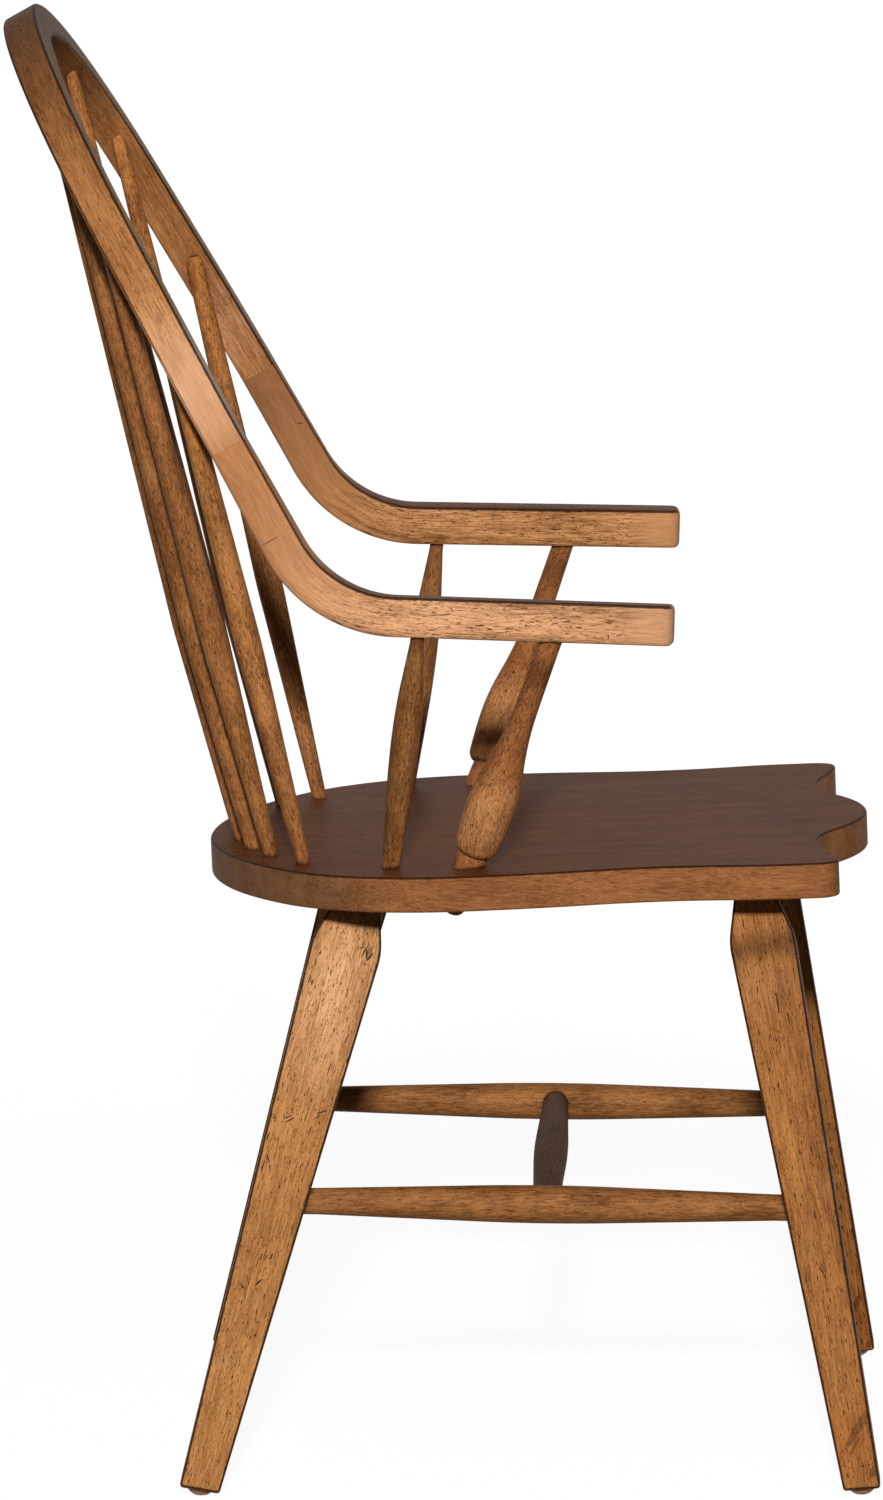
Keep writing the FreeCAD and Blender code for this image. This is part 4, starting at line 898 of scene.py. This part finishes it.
# Marks on the faces that the photograph shows: their places across the grain from the
# middle and along it from the end, then length, turn, width and amount as in scratch. The
# first on the right arm is a seam.
ARM_FACE = 13.6  # from the middle of the arm, in millimetres
ARM_MARKS = {
    RIGHT: [scratch(-ARM_FACE, *mark) for mark in (
        (5.4, 72.7, 17, 90, 0.55, 0.7), (-3, 201, 11, 8, 0.5), (-6.5, 206, 4, -65, 0.5),
        (4, 226, 9, 3, 0.6), (6, 233, 7, -4, 0.5), (-1, 288, 8, 5), (3, 297, 6, 0),
        (9, 318, 4, 90))],
    LEFT: [scratch(ARM_FACE, -8, 50, 5, 60, 0.6)],
}
for word, side in (("right", RIGHT), ("left", LEFT)):
    bent_arm(word, side)

# The other pieces


def frame_along(grain, face):
    """Axes of a board: its broad face's normal, the way across it, and the grain."""
    grain = Vector(grain).normalized()
    face = (Vector(face) - grain * grain.dot(Vector(face))).normalized()
    return (face, grain.cross(face), grain)


def dress(node, material):
    """Gives a solid that came with the frame its material."""
    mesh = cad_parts[node].data
    mesh.materials.clear()
    mesh.materials.append(material)


LEG_FACE = -16  # from the leg's middle line, in millimetres
LEG_MARKS = {
    "front": [scratch(LEG_FACE, *mark) for mark in (
        (-3, 358, 20, 3, 0.8), (0.5, 163, 8, -22, 0.8), (-2, 203, 9, 4), (-1, 158, 5, -30),
        (-8, 250, 7, 0), (7, 300, 8, 2), (-2.5, 44, 42, 43, 3.2, 0.4),
        (-6, 51, 26, 42, 1.0, 0.45), (0, 34, 22, 38, 1.1, 0.4),
        (-10, 14, 12, 30, 3.0, 0.5))],
    "rear": [scratch(LEG_FACE, *mark) for mark in (
        (6.8, 277.4, 10, 48), (9, 279, 8, 52), (-14, 289, 9, 56), (-12, 285, 6, 40),
        (19, 262, 8, 5, 0.6), (15, 246.6, 9, -35, 0.6), (17, 240, 12, 4),
        (-2, 158, 9, 30, 0.9), (-6, 178, 7, 10, 0.8), (8, 152, 8, -60),
        (-16.5, 411, 10, 25, 2.2, 0.5), (-13, 409, 11, 12, 0.7),
        (-15.5, 408, 12, -18, 0.8), (-18, 407, 10, 20, 1.1, 0.9),
        (-11, 412, 6, 70, 0.7, 0.6), (-17, 401, 7, 80, 0.6, 0.5))]
            + [hole(LEG_FACE, 4, 190), hole(LEG_FACE, -9, 120)],
}


def leg_colour_patch(across, along, radii, strength):
    """A patch of colour on a leg's outer face, its place and radii in millimetres."""
    return Vector((LEG_FACE, across, along)) * MM, Vector(radii) * MM, strength


# Patches on the legs' outer faces. Front leg: darker near the foot, a painted highlight under
# the shoulder, painted shade down the front edge, and the seat's painted shadow at the top. Rear
# leg: a painted highlight high up, and the seat's painted shadow at the top.
LEG_PAINTED_LIGHT_AND_TONE = {
    "front": (leg_colour_patch(0, 40, (1000, 1000, 45), (0.9, 0.8, 0.7)),
              leg_colour_patch(0, 372, (1000, 1000, 34), (1.1, 1.15, 1.35)),
              leg_colour_patch(-30, 200, (1000, 26, 1000), (0.66, 0.62, 0.6)),
              leg_colour_patch(0, 400, (1000, 1000, 16), (0.5, 0.5, 0.45))),
    "rear": (leg_colour_patch(-3, 380, (1000, 45, 115), (1.5, 1.85, 2.8)),
             leg_colour_patch(0, 434, (1000, 1000, 15), (0.5, 0.5, 0.45))),
}
LEG_LINES = {  # ground point and slant of each right leg
    "front": ((-270, -308.8, 0), (math.tan(math.radians(12.3)),
                                  math.tan(math.radians(10.75)), 1)),
    "rear": ((-285, 169.9, 0), (math.tan(math.radians(17)),
                                -math.tan(math.radians(15.2)), 1)),
}
PLASTIC = glide_plastic()


def line_under_arm(line, side):
    """The origin and axes of a turning that stands between the seat and the arm."""
    (x, y), top = line
    foot = seat_point(-x * side * MM, y * MM)
    return foot, frame_along(sided(top, side) * MM - foot, (1, 0, 0))


for word, side in (("right", RIGHT), ("left", LEFT)):
    for end, (ground, slant) in LEG_LINES.items():
        node = "%s_leg_%s" % (end, word)
        grain = sided(slant, side)
        axes = frame_along(grain, (1, 0, 0))
        tones = FRONT_LEG_TONES if end == "front" else REAR_LEG_TONES
        dress(node, stained_wood(
            node + "_wood", tones, pores=0.95, seed=71.0 + 3 * side + (end == "rear"),
            frame_of=(sided(ground, side) * MM, axes), board_face=tuple(axes[0]),
            tone_and_painted_light=LEG_PAINTED_LIGHT_AND_TONE[end], marks=LEG_MARKS[end],
            # Painted shade on the faces that look forward.
            painted_light_by_facing=[((0, -1, 0), (0.65, 0.6, 0.64))]))
        dress("%s_glide_%s" % (end, word), PLASTIC)
    dress("arm_post_" + word, stained_wood(
        "arm_post_%s_wood" % word, POST_TONES, pores=0.9, seed=90.0 + side,
        frame_of=line_under_arm(POST_LINE, side), short=2.5,
        # A painted highlight low on the bulb, and the colour darker just below the arm.
        tone_and_painted_light=[(*stretch(46 * MM, 56 * MM), (1.65, 1.95, 2.25)),
                (*stretch(172 * MM, 20 * MM), (0.62, 0.6, 0.6))]))
    dress("arm_spindle_" + word, stained_wood(
        "arm_spindle_%s_wood" % word, SPINDLE_TONES, pores=0.8, seed=95.0 + side,
        frame_of=line_under_arm(ARM_SPINDLE_LINE, side), short=2.2,
        tone_and_painted_light=[(*stretch(90 * MM, 400 * MM), (0.84, 0.87, 0.88))]))
    dress("side_stretcher_" + word, stained_wood(
        "side_stretcher_%s_wood" % word, STRETCHER_TONES, pores=0.6, seed=99.0 + side,
        frame_of=(sided(SIDE_STRETCHER_REAR, side) * MM,
                  frame_along(sided(SIDE_STRETCHER_RUN, side), (0, 0, 1))), short=1.5))
dress("cross_stretcher", stained_wood(
    "cross_stretcher_wood", CROSS_SHADED_TONES, pores=0.6, seed=104.0,
    frame_of=((0, 0, CROSS_STRETCHER_HEIGHT), frame_along((1, 0, 0), (0, 0, 1))),
    shine=0.02))
seat_up = Vector((0, math.sin(SEAT_SLOPE), math.cos(SEAT_SLOPE)))
dress("seat", stained_wood(
    "seat_wood", SEAT_TONES, pores=0.4, seed=110.0,
    frame_of=((0, 0, SEAT_HEIGHT), frame_along((0, 1, 0), seat_up)),
    board_face=tuple(seat_up), shine=0.03,
    # Painted shade on the top, and on the faces that look backwards and to the sitter's right.
    painted_light_by_facing=[(seat_up, (0.42, 0.36, 0.33)), ((-0.35, 0.94, 0), (0.72, 0.85, 1.05))],
    arris_from=-0.3))

# Floor and light

FLOOR_REACH = 40
FLOOR_GREY = (0.17, 0.17, 0.17, 1)
# How white the floor is seen at the chair, and between which distances it rises to full white.
FLOOR_WHITE = 0.94
FLOOR_WHITE_ENDS = 0.9, 2.6


def seen_plainly(tree):
    """1 for what the camera sees, also in a shine or through a clear piece."""
    path = tree.nodes.new("ShaderNodeLightPath")
    seen = math_node(tree, "MAXIMUM", path.outputs["Is Camera Ray"],
                     path.outputs["Is Transmission Ray"])
    return math_node(tree, "MAXIMUM", seen, path.outputs["Is Glossy Ray"])


def pale_floor():
    """Seen white, with the chair's shadow, and a plain pale grey to the light."""
    mesh = bpy.data.meshes.new("studio_floor")
    mesh.from_pydata([(x * FLOOR_REACH, y * FLOOR_REACH, 0)
                      for x, y in ((-1, -1), (1, -1), (1, 1), (-1, 1))], [], [(0, 1, 2, 3)])
    floor = bpy.data.objects.new("studio_floor", mesh)
    scene.collection.objects.link(floor)
    material = bpy.data.materials.new("studio_floor")
    material.use_nodes = True
    tree = material.node_tree
    tree.nodes.remove(tree.nodes["Principled BSDF"])
    paint = tree.nodes.new("ShaderNodeBsdfDiffuse")
    paint.inputs["Color"].default_value = FLOOR_GREY
    glow = tree.nodes.new("ShaderNodeEmission")
    own = tree.nodes.new("ShaderNodeTexCoord")
    away = vector_node(tree, "LENGTH", own.outputs["Object"])
    white = math_node(tree, "MULTIPLY_ADD", fade(tree, away, *FLOOR_WHITE_ENDS),
                      1 - FLOOR_WHITE, FLOOR_WHITE)
    link(tree, math_node(tree, "MULTIPLY", seen_plainly(tree), white), glow.inputs["Strength"])
    both = tree.nodes.new("ShaderNodeAddShader")
    link(tree, paint.outputs[0], both.inputs[0])
    link(tree, glow.outputs[0], both.inputs[1])
    link(tree, both.outputs[0], tree.nodes["Material Output"].inputs["Surface"])
    mesh.materials.append(material)


def studio_world():
    """Seen white, and only a faint light from all around."""
    world = bpy.data.worlds.new("studio_world")
    world.use_nodes = True
    tree = world.node_tree
    ground = tree.nodes["Background"]
    ground.inputs["Color"].default_value = (1, 1, 1, 1)
    strength = math_node(tree, "MULTIPLY_ADD", seen_plainly(tree), 1 - AMBIENT, AMBIENT)
    link(tree, strength, ground.inputs["Strength"])
    scene.world = world


pale_floor()
studio_world()
photograph_camera()
soft_lamp("key_lamp", place=(-9, -0.12, 3.37), aim=(0, 0, 0.5), size=0.5, power=732)
soft_lamp("top_lamp", place=(-0.4, 0.4, 3.6), aim=(0, 0, 0.6), size=1.6, power=4)
scene.view_settings.view_transform = "Standard"
